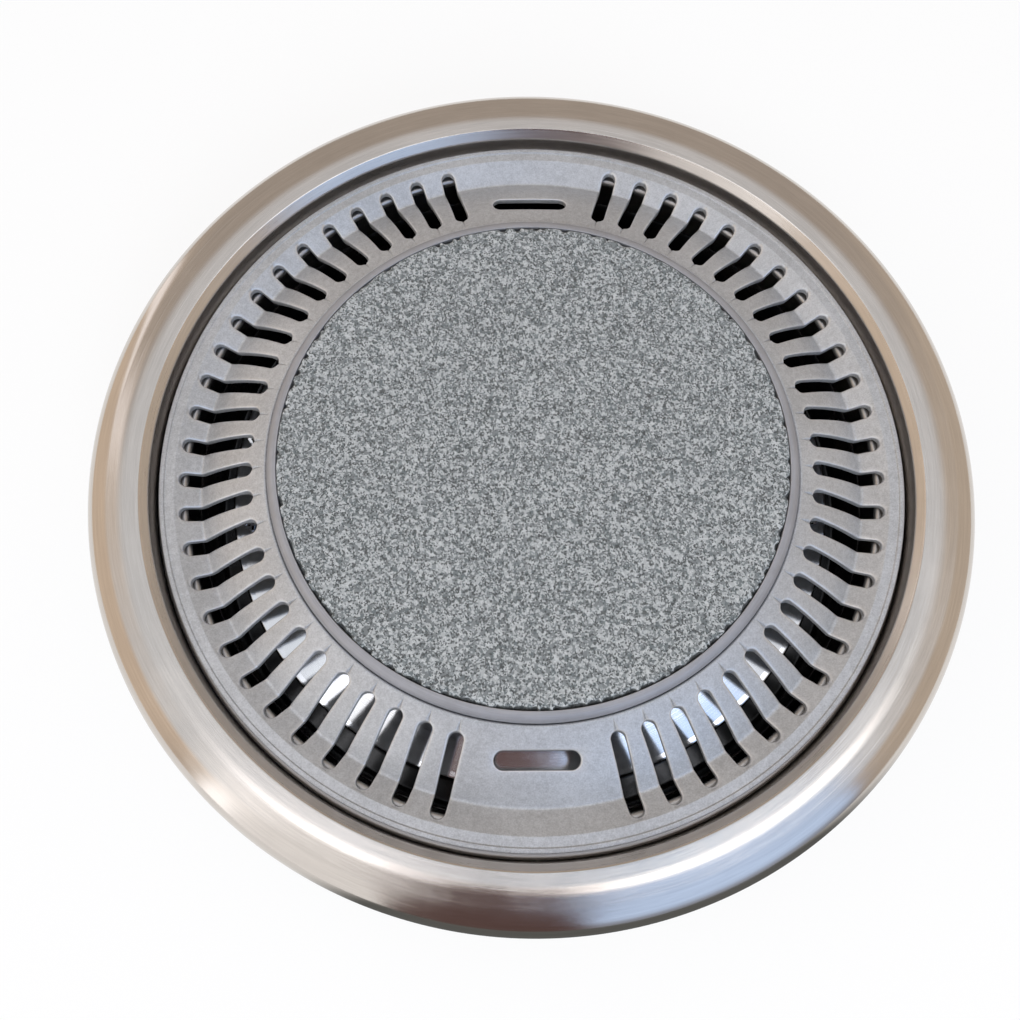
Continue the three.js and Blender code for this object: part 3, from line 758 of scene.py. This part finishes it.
class PAN_OT_reflector(Operator):
    """Make the polished reflector with its ears, and the two wire bails"""
    bl_idname = "pan.reflector"
    bl_label = "Reflector and bails"

    bends = np.array([1.1, 4, 2]) * MM
    ear_half, ear_thickness = 3.5 * MM, 1.6 * MM
    # Reach of a bail's stubs outside its arms, its bends, and the depth of the hollow in a stub's end.
    stub, bail_bends, hollow_share = 4.6 * MM, np.array([2.4, 6, 6, 2.4]) * MM, 0.6
    sides, end_steps = 14, 5

    def execute(self, context):
        scene = context.scene
        s, level = scene.trough_sizes, scene.pan_levels.reflector
        mirror = polished_steel(scene.finish_colours)
        top, low = level + s.mirror_sheet, level + cone_height(s, s.fire_collar)
        path = fillet([
            (s.hook, top - s.hook_height), (s.hook, top), (s.cone, top),
            (s.fire_collar, low), (s.fire_collar, low - s.fire_collar_height),
        ], self.bends, steps=6)
        shell = Shell().revolve(sheet(path, s.mirror_sheet), 256)
        pivot = np.array([s.bail_radius, 0.0, level + cone_height(s, s.bail_radius) + s.bail_rise])
        offset = s.bail_span / 2 + s.bail_wire + FIT + self.ear_thickness / 2
        foot = s.bail_rise + s.mirror_sheet / 2
        ear = ear_grid(self.ear_half, foot, s.bail_wire + FIT, self.ear_thickness) + pivot
        for turn in (1, -1):
            for side in (1, -1):
                moved = (ear + (0.0, side * offset, 0.0)) * (turn, 1, 1)
                shell.add(moved, wrap_rows=True, wrap_columns=True)
        dress(shell.build("mirror_cone"), "reflector", "polished_steel", mirror, "reflector")
        wire = self.bail_grid(s) + pivot
        for turn, name in ((1, "right"), (-1, "left")):
            bail = Shell().add(wire * (turn, 1, 1), wrap_columns=True).build(f"wire_bail_{name}")
            dress(bail, f"bail_{name}", "polished_steel", mirror, f"bail_{name}")
        return {"FINISHED"}

    def bail_grid(self, s):
        """A round wire along a U: rings square to the path's tangent, with a shallow hollow in each end.

        The U lies at the slope at which the far end of its arms clears the cone.
        """
        half, arm, wire = s.bail_span / 2, s.bail_length, s.bail_wire
        end = half + self.stub
        flat = [(0, -end), (0, -half), (arm, -half), (arm, half), (0, half), (0, end)]
        flat = apart(fillet(flat, self.bail_bends, steps=9))
        slope = math.atan(s.rise / (s.cone - s.fire_collar))
        rest = math.asin((s.bail_rise * math.cos(slope) - wire - 2 * FIT) / arm) - slope
        plane = np.array([(-math.cos(rest), 0.0, -math.sin(rest)), (0.0, 1.0, 0.0)])
        square = np.cross(*plane)
        tangent = unit(np.gradient(flat, axis=0))
        side = pair(-tangent[:, 1], tangent[:, 0])
        bend = np.linspace(0, math.pi / 2, self.end_steps)
        size, sink = wire * np.sin(bend), wire * self.hollow_share * (1 - np.sin(bend))[:, None]
        path = np.vstack([flat[0] + tangent[0] * sink, flat[1:-1], flat[-1] - tangent[-1] * sink[::-1]])
        first, last = (side[i:i + 1].repeat(self.end_steps, 0) for i in (0, len(side) - 1))
        side = np.vstack([first, side[1:-1], last])
        size = np.concatenate([size, np.full(len(flat) - 2, wire), size[::-1]])[:, None, None]
        t = np.linspace(0, 2 * math.pi, self.sides, endpoint=False)[:, None]
        return (path @ plane)[:, None] + size * ((side @ plane)[:, None] * np.cos(t) + square * np.sin(t))


# ---------------------------------------------------------------------------------------------
# Grill plate


def stadium(first, second, radius, share):
    """Point and outward normal of a slot's outline at shares of its length.

    The outline starts at the middle of one long side. On the straights its centre moves between first
    and second, the centres of the slot's ends, and on the half circles its normal turns.
    """
    half = np.linalg.norm(second - first) / 2
    u = unit(second - first)
    v = np.array([-u[1], u[0]])
    arc = math.pi * radius
    total = 4 * half + 2 * arc
    d = (share % 1.0 * total)[:, None]
    d = np.where(d > total - half, d - total, d)
    turn = sum(((d - start) / radius).clip(0, math.pi) for start in (half, 3 * half + arc))
    along = d.clip(-half, half) - (d - half - arc).clip(0, 2 * half)
    normal = u * np.sin(turn) - v * np.cos(turn)
    return (first + second) / 2 + u * along + radius * normal, normal


class PAN_OT_grill_plate(Operator):
    """Make the cast plate with its slots, drain tails and tool slots"""
    bl_idname = "pan.grill_plate"
    bl_label = "Grill plate"

    # Directions of the sectors with a slot, counted from the front, and of the plain ones by a tool slot.
    pitch = math.radians(6)
    slotted = -math.pi / 2 + np.radians([turn * (15 + 6 * k) for k in range(26) for turn in (1, -1)])
    tools = np.radians([-90, 90])
    plain = (tools[:, None] + np.radians([-9, -3, 3, 9])).reshape(-1)
    # In millimetres: half widths across a sector at its inner edge, the matching places on a slot's end,
    # radii of the columns beside the slots, rows of the dome inside them, and where the tool sector ends.
    inner_places = (0.0, 0.22, 0.45, 0.78, 1.3, 2.3, 4.1)
    end_places = (0.0, 0.22, 0.45, 0.78, 1.25, 1.75, 2.25, 2.7)
    columns = (123.3, 124.6, 125.8, 128, 131, 135, 139, 142.5, 145.6, 147, 147.5, 148, 148.5, 149,
               150.4, 152.2, 153.9, 155.4, 156.8)
    dome_rows = (119.6, 120.2, 120.9, 121.7)
    split = 139 * MM
    margin = 1 * MM  # Space between the slots' ends and the full rings.
    outer_end = math.radians(62)  # Angle at which a slot's outer end meets its long sides.
    lower_edge = 0.4 * MM  # Rounding of the slots' lower edges.
    dome_steps = 30
    # Roundings: crease and flange, both ends of the underside, the opening's edges, and bead and rim.
    valley_bends = np.array([1.5, 1.2]) * MM
    under_bends = np.array([1, 1.5]) * MM
    shoulder_bends = np.array([1, 0.6, 0.9]) * MM
    rim_bends = np.array([0.5, 0.25, 0.25, 0.5, 0.5, 0.5, 0.5]) * MM
    # The underside follows the dome outside the first of these widths, up to the second over the flange's
    # underside, and meets that at the third outside the crease.
    clear, above, beyond = np.array([10.4, 0.3, 0.2]) * MM
    lip, bead_slope = 3 * MM, 0.45 * MM  # Width of the shoulder's own rows, and of the bead's inner slope.

    def execute(self, context):
        scene = context.scene
        s = self.s = scene.plate_sizes
        self.level = scene.pan_levels.plate
        self.inner, self.outer = s.slot_inner - self.margin, s.slot_outer + self.margin
        self.cross = mirrored(np.r_[np.array(self.inner_places) * MM / self.inner, self.pitch / 2])
        self.far = np.linspace(-self.pitch / 2, self.pitch / 2, 10)
        self.radii = np.array(self.columns) * MM
        ledge_top = scene.pan_levels.stone - self.level - FIT
        shell = Shell()
        self.add_rings(shell, self.sections(ledge_top), ledge_top)
        grids = [(grid, mark, True, self.slotted) for grid, mark in self.slot_grids()]
        grids += [(*one, self.tools) for one in self.tool_grids()]
        for grid, mark, wrap, angles in grids:
            for c, n in zip(np.cos(angles), np.sin(angles)):
                turned = grid @ np.array([(c, n, 0), (-n, c, 0), (0, 0, 1)])
                shell.add(turned, wrap_rows=wrap, mark=mark)
        plate = shell.build("cast_plate", sharp_angle=50)
        dress(plate, "grill", "cast_aluminium", cast_aluminium(scene.finish_colours), "grill_plate")
        return {"FINISHED"}

    def sections(self, ledge_top):
        """Sets the plate's upper and lower lines from the recess to the flange, and returns the flange's.

        The dome is a straight cone plus a parabola, and its underside lies one wall below it.
        """
        s = self.s
        t = np.linspace(0, 1, self.dome_steps)[:, None]
        shoulder, valley = np.array([s.recess, s.shoulder]), np.array([s.valley_radius, -s.valley])
        run = unit(valley - shoulder)
        dome = shoulder + (valley - shoulder) * t + np.array([-run[1], run[0]]) * 4 * s.bulge * t * (1 - t)
        flange = [(s.flange_radius, -s.bead_height), (s.radius - s.bead, -s.bead_height)]
        crease = fillet(np.vstack([dome[-2:], flange]), self.valley_bends, steps=6)
        self.top = np.vstack([dome[:-1], crease[1:]])
        slope = (s.valley - s.bead_height) / (s.flange_radius - s.valley_radius)
        drop = s.wall * math.sqrt(1 + slope * slope)

        def line(r):
            return -s.valley + (r - s.valley_radius) * slope - drop

        angle = unit(np.gradient(dome, axis=0))
        under = dome + s.wall * pair(angle[:, 1], -angle[:, 0])
        under = under[under[:, 0] > s.recess + self.clear]
        under = under[under[:, 1] > line(under[:, 0]) - self.above]
        meet, rim = s.valley_radius + self.beyond, s.radius - s.rim_width
        ends = [(meet, line(meet)), (rim, line(rim))]
        bends = np.r_[self.under_bends[0], np.zeros(len(under) - 1), self.under_bends[1]]
        self.bottom = fillet(np.vstack([(s.recess + s.wall, ledge_top - s.wall), under, ends]), bends)
        return line

    def tail_drop(self, r, y):
        """Depth of the drain groove: a V that widens and deepens from its tip to the slot."""
        s = self.s
        t = np.clip((r - (s.slot_inner - s.tail)) / s.tail, 0, 1)
        width = np.maximum(s.tail_width / 2 * t, 1e-9)
        return s.tail_depth * t ** 0.7 * np.clip(1 - np.abs(y) / width, 0, 1)

    def add_rings(self, shell, line, ledge_top):
        """The full rings inside and outside the slotted band, with the columns of the sectors' edges."""
        s, ledge_under = self.s, ledge_top - self.s.wall
        hole, edge, rim = s.recess - s.ledge, s.radius - s.bead, s.radius - s.rim_width
        lip = s.recess + self.lip
        shoulder = fillet([
            (hole, ledge_under), (hole, ledge_top), (s.recess, ledge_top), (s.recess, s.shoulder),
            (lip, reading(self.top, lip)),
        ], self.shoulder_bends, steps=4)
        rows = np.array(self.dome_rows) * MM
        under = [(self.inner, reading(self.bottom, self.inner)), (s.recess + s.wall, ledge_under)]
        inner = np.vstack([under, shoulder, pair(rows, reading(self.top, rows))])
        outer = fillet([
            (self.outer, reading(self.top, self.outer)), (s.flange_radius, -s.bead_height),
            (edge, -s.bead_height), (edge + self.bead_slope, 0.0), (s.radius, 0.0), (s.radius, -s.rim),
            (rim, -s.rim), (rim, line(rim)), (self.outer, line(self.outer)),
        ], self.rim_bends, steps=4)
        for profile, across, tail in ((inner, self.cross, True), (outer, self.far, False)):
            r, z = profile[:, :1], profile[:, 1:] + self.level
            drop = self.tail_drop(r, across * r) * tail
            drop[:len(under)] = 0
            for centres, height in ((self.slotted, z - drop), (self.plain, z)):
                for centre in centres:
                    shell.add(raised(polar(r, centre + across), height))

    def surface(self, plan, edge, upper, grooved):
        """Heights over points of the slotted band, less the rounding at a slot's edge."""
        r = np.hypot(plan[..., 0], plan[..., 1])
        if upper:
            drop = self.tail_drop(r, plan[..., 1]) if grooved else 0.0
            return reading(self.top, r) + self.level - edge - drop
        return reading(self.bottom, r) + self.level + edge

    def around_slot(self, outline, normal, border, upper, grooved):
        """Rows from a slot's outline to the border of its sector.

        The first rows lie at fixed distances from the outline, where the edge is a quarter circle, and
        the rest share the way to the border evenly in radius and angle.
        """
        radius = self.s.slot_edge if upper else self.lower_edge
        d = radius * np.array([0, 0.06, 0.22, 0.5, 1.0] if upper else [0, 0.3, 1.0])
        edge = radius - np.sqrt(np.maximum(radius ** 2 - (radius - d) ** 2, 0))
        near = outline[:, None] + normal[:, None] * d[:, None]
        x, y = near[:, -1:, 0], near[:, -1:, 1]
        t = np.linspace(0, 1, 4 if upper else 3)[1:]
        r, a = np.hypot(x, y) * (1 - t) + border[:, :1] * t, np.arctan2(y, x) * (1 - t) + border[:, 1:] * t
        plan = np.concatenate([near, polar(r, a)], 1)
        return raised(plan, self.surface(plan, np.r_[edge, 0 * t], upper, grooved))

    def slot_grids(self):
        """The grids of the slot along +X. Its outline is a moving centre plus a normal times the radius."""
        s = self.s
        half = s.slot_width / 2
        c1, c2 = s.slot_inner + half, s.slot_outer - half
        ends = mirrored(np.arcsin(np.array(self.end_places) * MM / half))
        r = self.radii
        x = np.sqrt(np.maximum(r ** 2 - half ** 2, 0))
        before, after = x < c1, x > c2
        side = np.full(len(x), math.pi / 2)
        side[before] = math.pi - np.linspace(ends[-1], math.pi / 2, before.sum() + 2)[1:-1]
        side[after] = np.linspace(math.pi / 2, self.outer_end, after.sum() + 2)[1:-1]
        far = np.linspace(self.outer_end, -self.outer_end, len(self.far))
        centre = x.clip(c1, c2)
        normal = polar(1.0, np.r_[math.pi - ends, side, far, -side[::-1]])
        centre = np.r_[0 * ends + c1, centre, 0 * far + c2, centre[::-1]]
        border = np.vstack([
            pair(self.inner, self.cross), pair(r, self.pitch / 2),
            pair(self.outer, self.far[::-1]), pair(r[::-1], -self.pitch / 2),
        ])
        return self.slot_surfaces(pair(centre, 0.0) + half * normal, normal, border, True)

    def slot_surfaces(self, outline, normal, border, grooved):
        """The upper face, the lower face and the wall between them, with the wear on each."""
        upper, lower = (self.around_slot(outline, normal, border, up, grooved) for up in (True, False))
        t = np.array([0, 0.06, 0.5, 0.94, 1])[:, None]
        worn = np.zeros(upper.shape[:2])
        worn[:, 1:5] = (0.5, 1.0, 0.8, 0.2)
        return [(upper, worn), (lower, None), (upper[:, :1] + (lower[:, :1] - upper[:, :1]) * t, None)]

    def tool_grids(self):
        """The sector with a tool slot, along +X: a ring round the slot and a plain strip outside it."""
        s = self.s
        half = s.tool_width / 2
        reach = s.tool_length / 2 - half
        places = self.pitch * np.array([-1.5, -0.5, 0.5, 1.5])[:, None]
        near, far = (np.unique((places + across).round(9)) for across in (self.cross, self.far))
        low = self.radii[self.radii < self.split]
        high = np.r_[self.radii[self.radii >= self.split], self.outer]
        edge = 2 * self.pitch
        border = np.vstack([
            pair(self.inner, near), pair(low, edge), pair(self.split, far[::-1]), pair(low[::-1], -edge),
        ])
        # Shares of the outline's length at which its inner side ends and its outer side starts.
        i, j = 0.215, 0.285
        share = np.concatenate([
            np.linspace(-i, i, len(near)), np.linspace(i, j, len(low) + 2)[1:-1],
            np.linspace(j, 1 - j, len(far)), np.linspace(1 - j, 1 - i, len(low) + 2)[1:-1],
        ])
        # The outline starts at the middle of the side that lies nearer to the centre.
        first, second = np.array([s.tool_radius, reach]), np.array([s.tool_radius, -reach])
        point, normal = stadium(first, second, half, -share)
        grids = [(*one, True) for one in self.slot_surfaces(point, normal, border, False)]
        plan = polar(high[:, None], far)
        return grids + [
            (raised(plan, self.surface(plan, 0.0, upper, False)), None, False) for upper in (True, False)
        ]


# ---------------------------------------------------------------------------------------------
# Stone and hoop


def bites(angle, radius, seed, count, spread):
    """Chips along a rim: the largest of many bumps, each half an ellipse with its own place and width."""
    rng = np.random.default_rng(seed)
    centres = np.where(rng.random(count) < 0.6, rng.normal(-math.pi / 2, spread, count),
                       rng.uniform(-math.pi, math.pi, count))
    widths = rng.uniform(0.6, 2.6, count) * MM
    depths = rng.uniform(0.25, 1.0, count) ** 1.5
    away = (angle[:, None] - centres[None] + math.pi) % (2 * math.pi) - math.pi
    shape = np.clip(1 - (away * radius / widths) ** 2, 0, 1) ** 0.6
    return (shape * depths).max(1)


class PAN_OT_stone(Operator):
    """Make the granite disc with its chipped edge, and the hoop round it"""
    bl_idname = "pan.stone"
    bl_label = "Stone and hoop"

    steps = 1080
    # Radii of the rings on the flat top, in millimetres.
    rings = (0, 20, 40, 60, 80, 95, 103, 106.5, 108)
    # Shares of the worn edge outwards and down along its arc, and of a chip's cut inwards and down.
    edge_out, edge_down = np.array([0, 0.5, 0.8, 0.95, 1.0]), np.array([0, 0.1, 0.35, 0.7, 1.0])
    chip_in, chip_down = np.array([1.0, 0.8, 0.5, 0.25, 0.1]), np.array([0.05, 0.55, 0.8, 0.95, 1.05])
    # Seed, count and spread of the chips, and of the fine pits between them.
    chips, pits = (11, 260, 0.75), (23, 900, 3.0)
    # Height of the first ring on the stone's side, and the cut at its lower edge.
    side_ring, under_cut = 5 * MM, 0.3 * MM
    # Depth of the hoop's inner face, and the rounding of its edges.
    hoop_inner, hoop_bends, hoop_edge = 4 * MM, np.array([0.3, 0.5]) * MM, 0.25 * MM

    def execute(self, context):
        scene = context.scene
        s, z = scene.stone_sizes, scene.pan_levels.stone
        top = z + s.thickness
        t = np.arange(self.steps) * 2 * math.pi / self.steps
        chip = bites(t, s.radius, *self.chips)
        rough = bites(t, s.radius, *self.pits) * 0.25
        cut = (0.05 * rough + chip)[:, None] * s.chip
        edge = s.edge * (0.8 + 0.3 * rough)[:, None]
        every = np.ones((self.steps, 1))
        flat = every * np.array(self.rings) * MM
        side = np.array([
            (s.radius, z + self.side_ring), (s.radius, z + self.under_cut),
            (s.radius - self.under_cut, z), (0.0, z),
        ])
        worn = s.radius - edge - cut * self.chip_in + edge * self.edge_out
        fall = edge * self.edge_down + cut * self.chip_down
        r = np.concatenate([flat, worn, every * side[:, 0]], 1)
        h = np.concatenate([top - 0 * flat, top - fall, every * side[:, 1]], 1)
        mark = np.zeros(r.shape)
        first = len(self.rings) + 1
        # Marks the chips, where the granite is darkened as painted shade.
        mark[:, first:first + 4] = np.clip(chip * 1.4, 0, 1)[:, None] * (0.5, 1.0, 1.0, 0.8)
        shell = Shell().add(raised(polar(r, t[:, None]), h), wrap_rows=True, wrap_columns=True, mark=mark)
        stone = shell.build("granite_disc", 60)
        dress(stone, "stone", "granite", granite(scene.finish_colours), "cooking_stone")

        inner, crest = s.radius + FIT, top - s.hoop_sink
        outer = inner + s.hoop
        shoulder = ellipse((inner + s.hoop_land, crest - s.hoop_drop), (s.hoop - s.hoop_land, s.hoop_drop),
                           0.0, math.pi / 2, 14)
        foot = fillet([
            (inner, crest - self.hoop_inner), (inner, z), (outer, z), (outer, crest - s.hoop_drop),
        ], self.hoop_bends, steps=3)[:-1]
        lip = [shoulder[-1], (inner, crest), (inner, crest - self.hoop_inner)]
        lip = fillet(lip, [self.hoop_edge], steps=3)[1:-1]
        hoop = Shell().revolve(np.vstack([foot, shoulder, lip]), 320).build("stone_band")
        dress(hoop, "stone", "hoop_metal", hoop_metal(scene.finish_colours), "stone_hoop")
        return {"FINISHED"}


# ---------------------------------------------------------------------------------------------
# Floor, light and camera


class Sky(Look):
    """The world's background, as expressions of the direction."""

    # A point just behind the zenith, where the front ring's reflections run together.
    apex = (0.04, 0.34)

    def __init__(self, name):
        self.world = bpy.data.worlds.new(name)
        self.start(self.world, "Generated")
        self.aside = self.bearing()
        self.height = self.z.math("ARCSINE") * math.degrees(1)
        across, ahead = self.x - self.apex[0], self.apex[1] - self.y
        self.turn = across.math("ARCTAN2", ahead) * math.degrees(1)
        self.reach = (across * across + ahead * ahead) ** 0.5

    def finish(self, colour):
        background = self.node("ShaderNodeBackground", {}, {"Color": colour, "Strength": 1.0})
        self.node("ShaderNodeOutputWorld", {}, {"Surface": background.outputs[0]})


class PAN_OT_studio(Operator):
    """Make the pale floor, the soft light and the camera of the photograph's view"""
    bl_idname = "pan.studio"
    bl_label = "Studio"

    # Name, place, power in watts and tint of each square soft box of one metre.
    lamps = (
        ("key", (0.35, -1.9, 1.5), 28.0, (0.92, 0.97, 1.0)),
        ("side", (-1.8, -0.5, 1.3), 4.0, (1.0, 0.98, 0.96)),
    )
    lit_point = Vector((0.0, 0.0, 0.06))
    # The camera fitted to the photograph: place, target, roll in radians, lens and sensor in millimetres.
    place, target = Vector((-0.01473, -0.14571, 0.45657)), Vector((-0.01026, -0.02359, 0.0681))
    roll, lens, sensor = 0.032, 32.87, 36.0
    floor_half = 4.0

    def execute(self, context):
        scene = context.scene
        self.add_floor(scene.finish_colours)
        self.add_world(scene)
        for name, place, watts, tint in self.lamps:
            light = bpy.data.lights.new(name, "AREA")
            light.shape, light.size, light.energy, light.color = "SQUARE", 1.0, watts, tint
            lamp = self.add(name, light)
            lamp.location = place
            lamp.rotation_euler = (self.lit_point - Vector(place)).to_track_quat("-Z", "Y").to_euler()
            lamp.visible_glossy = False
        camera = self.add("camera", bpy.data.cameras.new("camera"))
        camera.data.lens, camera.data.sensor_width = self.lens, self.sensor
        camera.data.clip_start = 0.01
        forward = (self.target - self.place).normalized()
        right = forward.cross(Vector((0, 0, 1))).normalized()
        turn = Matrix((right, right.cross(forward), -forward)).transposed().to_4x4()
        camera.matrix_world = Matrix.Translation(self.place) @ turn @ Matrix.Rotation(self.roll, 4, "Z")
        scene.camera = camera
        scene.view_settings.view_transform = "Standard"
        return {"FINISHED"}

    @staticmethod
    def add(name, data):
        item = bpy.data.objects.new(name, data)
        bpy.context.scene.collection.objects.link(item)
        return item

    def add_floor(self, colours):
        """A plain floor, white to the camera, metal and glass, with a dim patch in front for metal alone."""
        h = self.floor_half
        mesh = bpy.data.meshes.new("floor")
        mesh.from_pydata([(-h, -h, 0), (h, -h, 0), (h, h, 0), (-h, h, 0)], [], [(0, 1, 2, 3)])
        floor = self.add("floor", mesh)
        look = Look("floor", Roughness=0.8)
        grain = look.noise(look.place, 3, 3, 0.5)
        base = look.mix(grain, colours.floor, scaled(colours.floor, 0.98))
        look.feed(look.shader.inputs["Base Color"], base)
        path = look.node("ShaderNodeLightPath").outputs
        seen = [Value(look, path[n]) for n in ("Is Camera Ray", "Is Glossy Ray", "Is Transmission Ray")]
        bearing = look.bearing()
        dim = seen[1] * bearing.smooth(-34, -22) * (1 - bearing.smooth(40, 60))
        shade = look.mix(dim, (1.0, 1.0, 1.0), (0.08, 0.085, 0.08))
        glow = look.node("ShaderNodeEmission", {}, {"Color": shade, "Strength": 1.06})
        share = (seen[0] + seen[1] + seen[2]).clamp() * 0.8 + 0.12 * dim
        blend = look.node("ShaderNodeMixShader", {}, [share, look.shader.outputs[0], glow.outputs[0]])
        look.feed(look.output.inputs["Surface"], blend.outputs[0])
        mesh.materials.append(look.material)

    @staticmethod
    def add_world(scene):
        """A soft room with beige walls and a pale ceiling, and what the ring shows of it round the apex.

        These are a pale window and a blue one, a bright fan behind them, and a dark flag between them.
        """
        sky = Sky("studio")
        scene.world = sky.world
        aside, height, turn, reach = sky.aside, sky.height, sky.turn, sky.reach
        left = aside.smooth(-150, -120) * (1 - aside.smooth(-75, -45))
        right = aside.smooth(50, 75) * (1 - aside.smooth(125, 150))
        room = sky.mix(left, (0.50, 0.44, 0.39), (0.80, 0.66, 0.53))
        room = sky.mix(right, room, (0.64, 0.55, 0.46))
        room = sky.mix(height.smooth(56, 72), room, (0.82, 0.85, 0.90))
        streak = aside.panel(-137, -130, 1.5) * height.panel(2, 62, 1.5)
        room = sky.mix(streak, room, (1.3, 1.22, 1.2))
        outer, open_sky = reach.smooth(0.34, 0.39), reach.smooth(0.04, 0.1)
        pale = sky.mix(height.smooth(-8, 4), (1.7, 1.7, 1.75), (1.1, 1.09, 1.1))
        pale = sky.mix(1 - turn.smooth(-41, -39), pale, (1.9, 1.9, 1.95))
        pale = sky.mix(outer, (1.3, 1.36, 1.5), pale)
        room = sky.mix(turn.panel(-45, -18, 1.2) * open_sky, room, pale)
        blue = sky.mix(height.smooth(0, 34), (0.34, 0.37, 0.45), (0.72, 0.93, 1.32))
        blue = sky.mix(outer, (0.8, 1.0, 1.3), blue)
        room = sky.mix(turn.panel(5, 42, 1.2) * open_sky, room, blue)
        room = sky.mix(turn.panel(-44, 50, 8) * reach.panel(0.16, 0.37, 0.02), room, (2.6, 2.6, 2.7))
        flag = sky.mix(height.smooth(-12, 4), (0.16, 0.17, 0.16), (0.135, 0.085, 0.08))
        flag = sky.mix(reach.smooth(0.15, 0.19), (0.6, 0.62, 0.66), flag)
        room = sky.mix(turn.panel(-18.5, 5.5, 1.2) * open_sky, room, flag)
        sky.finish(room)


# ---------------------------------------------------------------------------------------------
# Panel and registration

OPERATORS = (
    PAN_OT_studio, PAN_OT_trim_ring, PAN_OT_bowl, PAN_OT_fittings, PAN_OT_trough, PAN_OT_reflector,
    PAN_OT_grill_plate, PAN_OT_stone,
)


class PAN_PT_sidebar(Panel):
    """Lists the pan's pieces and their sizes"""
    bl_idname = "PAN_PT_sidebar"
    bl_label = "Grill Pan"
    bl_space_type = "VIEW_3D"
    bl_region_type = "UI"
    bl_category = "Grill Pan"

    def draw(self, context):
        for operator in OPERATORS:
            self.layout.operator(operator.bl_idname)
        for name in GROUPS:
            column = self.layout.box().column()
            group = getattr(context.scene, name)
            column.label(text=name.replace("_", " ").capitalize())
            for key in group.__annotations__:
                column.prop(group, key)


CLASSES = (*GROUPS.values(), *OPERATORS, PAN_PT_sidebar)


def register():
    for kind in CLASSES:
        bpy.utils.register_class(kind)
    for name, kind in GROUPS.items():
        setattr(bpy.types.Scene, name, PointerProperty(type=kind))


def unregister():
    for name in GROUPS:
        delattr(bpy.types.Scene, name)
    for kind in reversed(CLASSES):
        bpy.utils.unregister_class(kind)


def main():
    """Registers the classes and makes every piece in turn."""
    register()
    for operator in OPERATORS:
        group, name = operator.bl_idname.split(".")
        getattr(getattr(bpy.ops, group), name)()


if __name__ == "__main__":
    main()
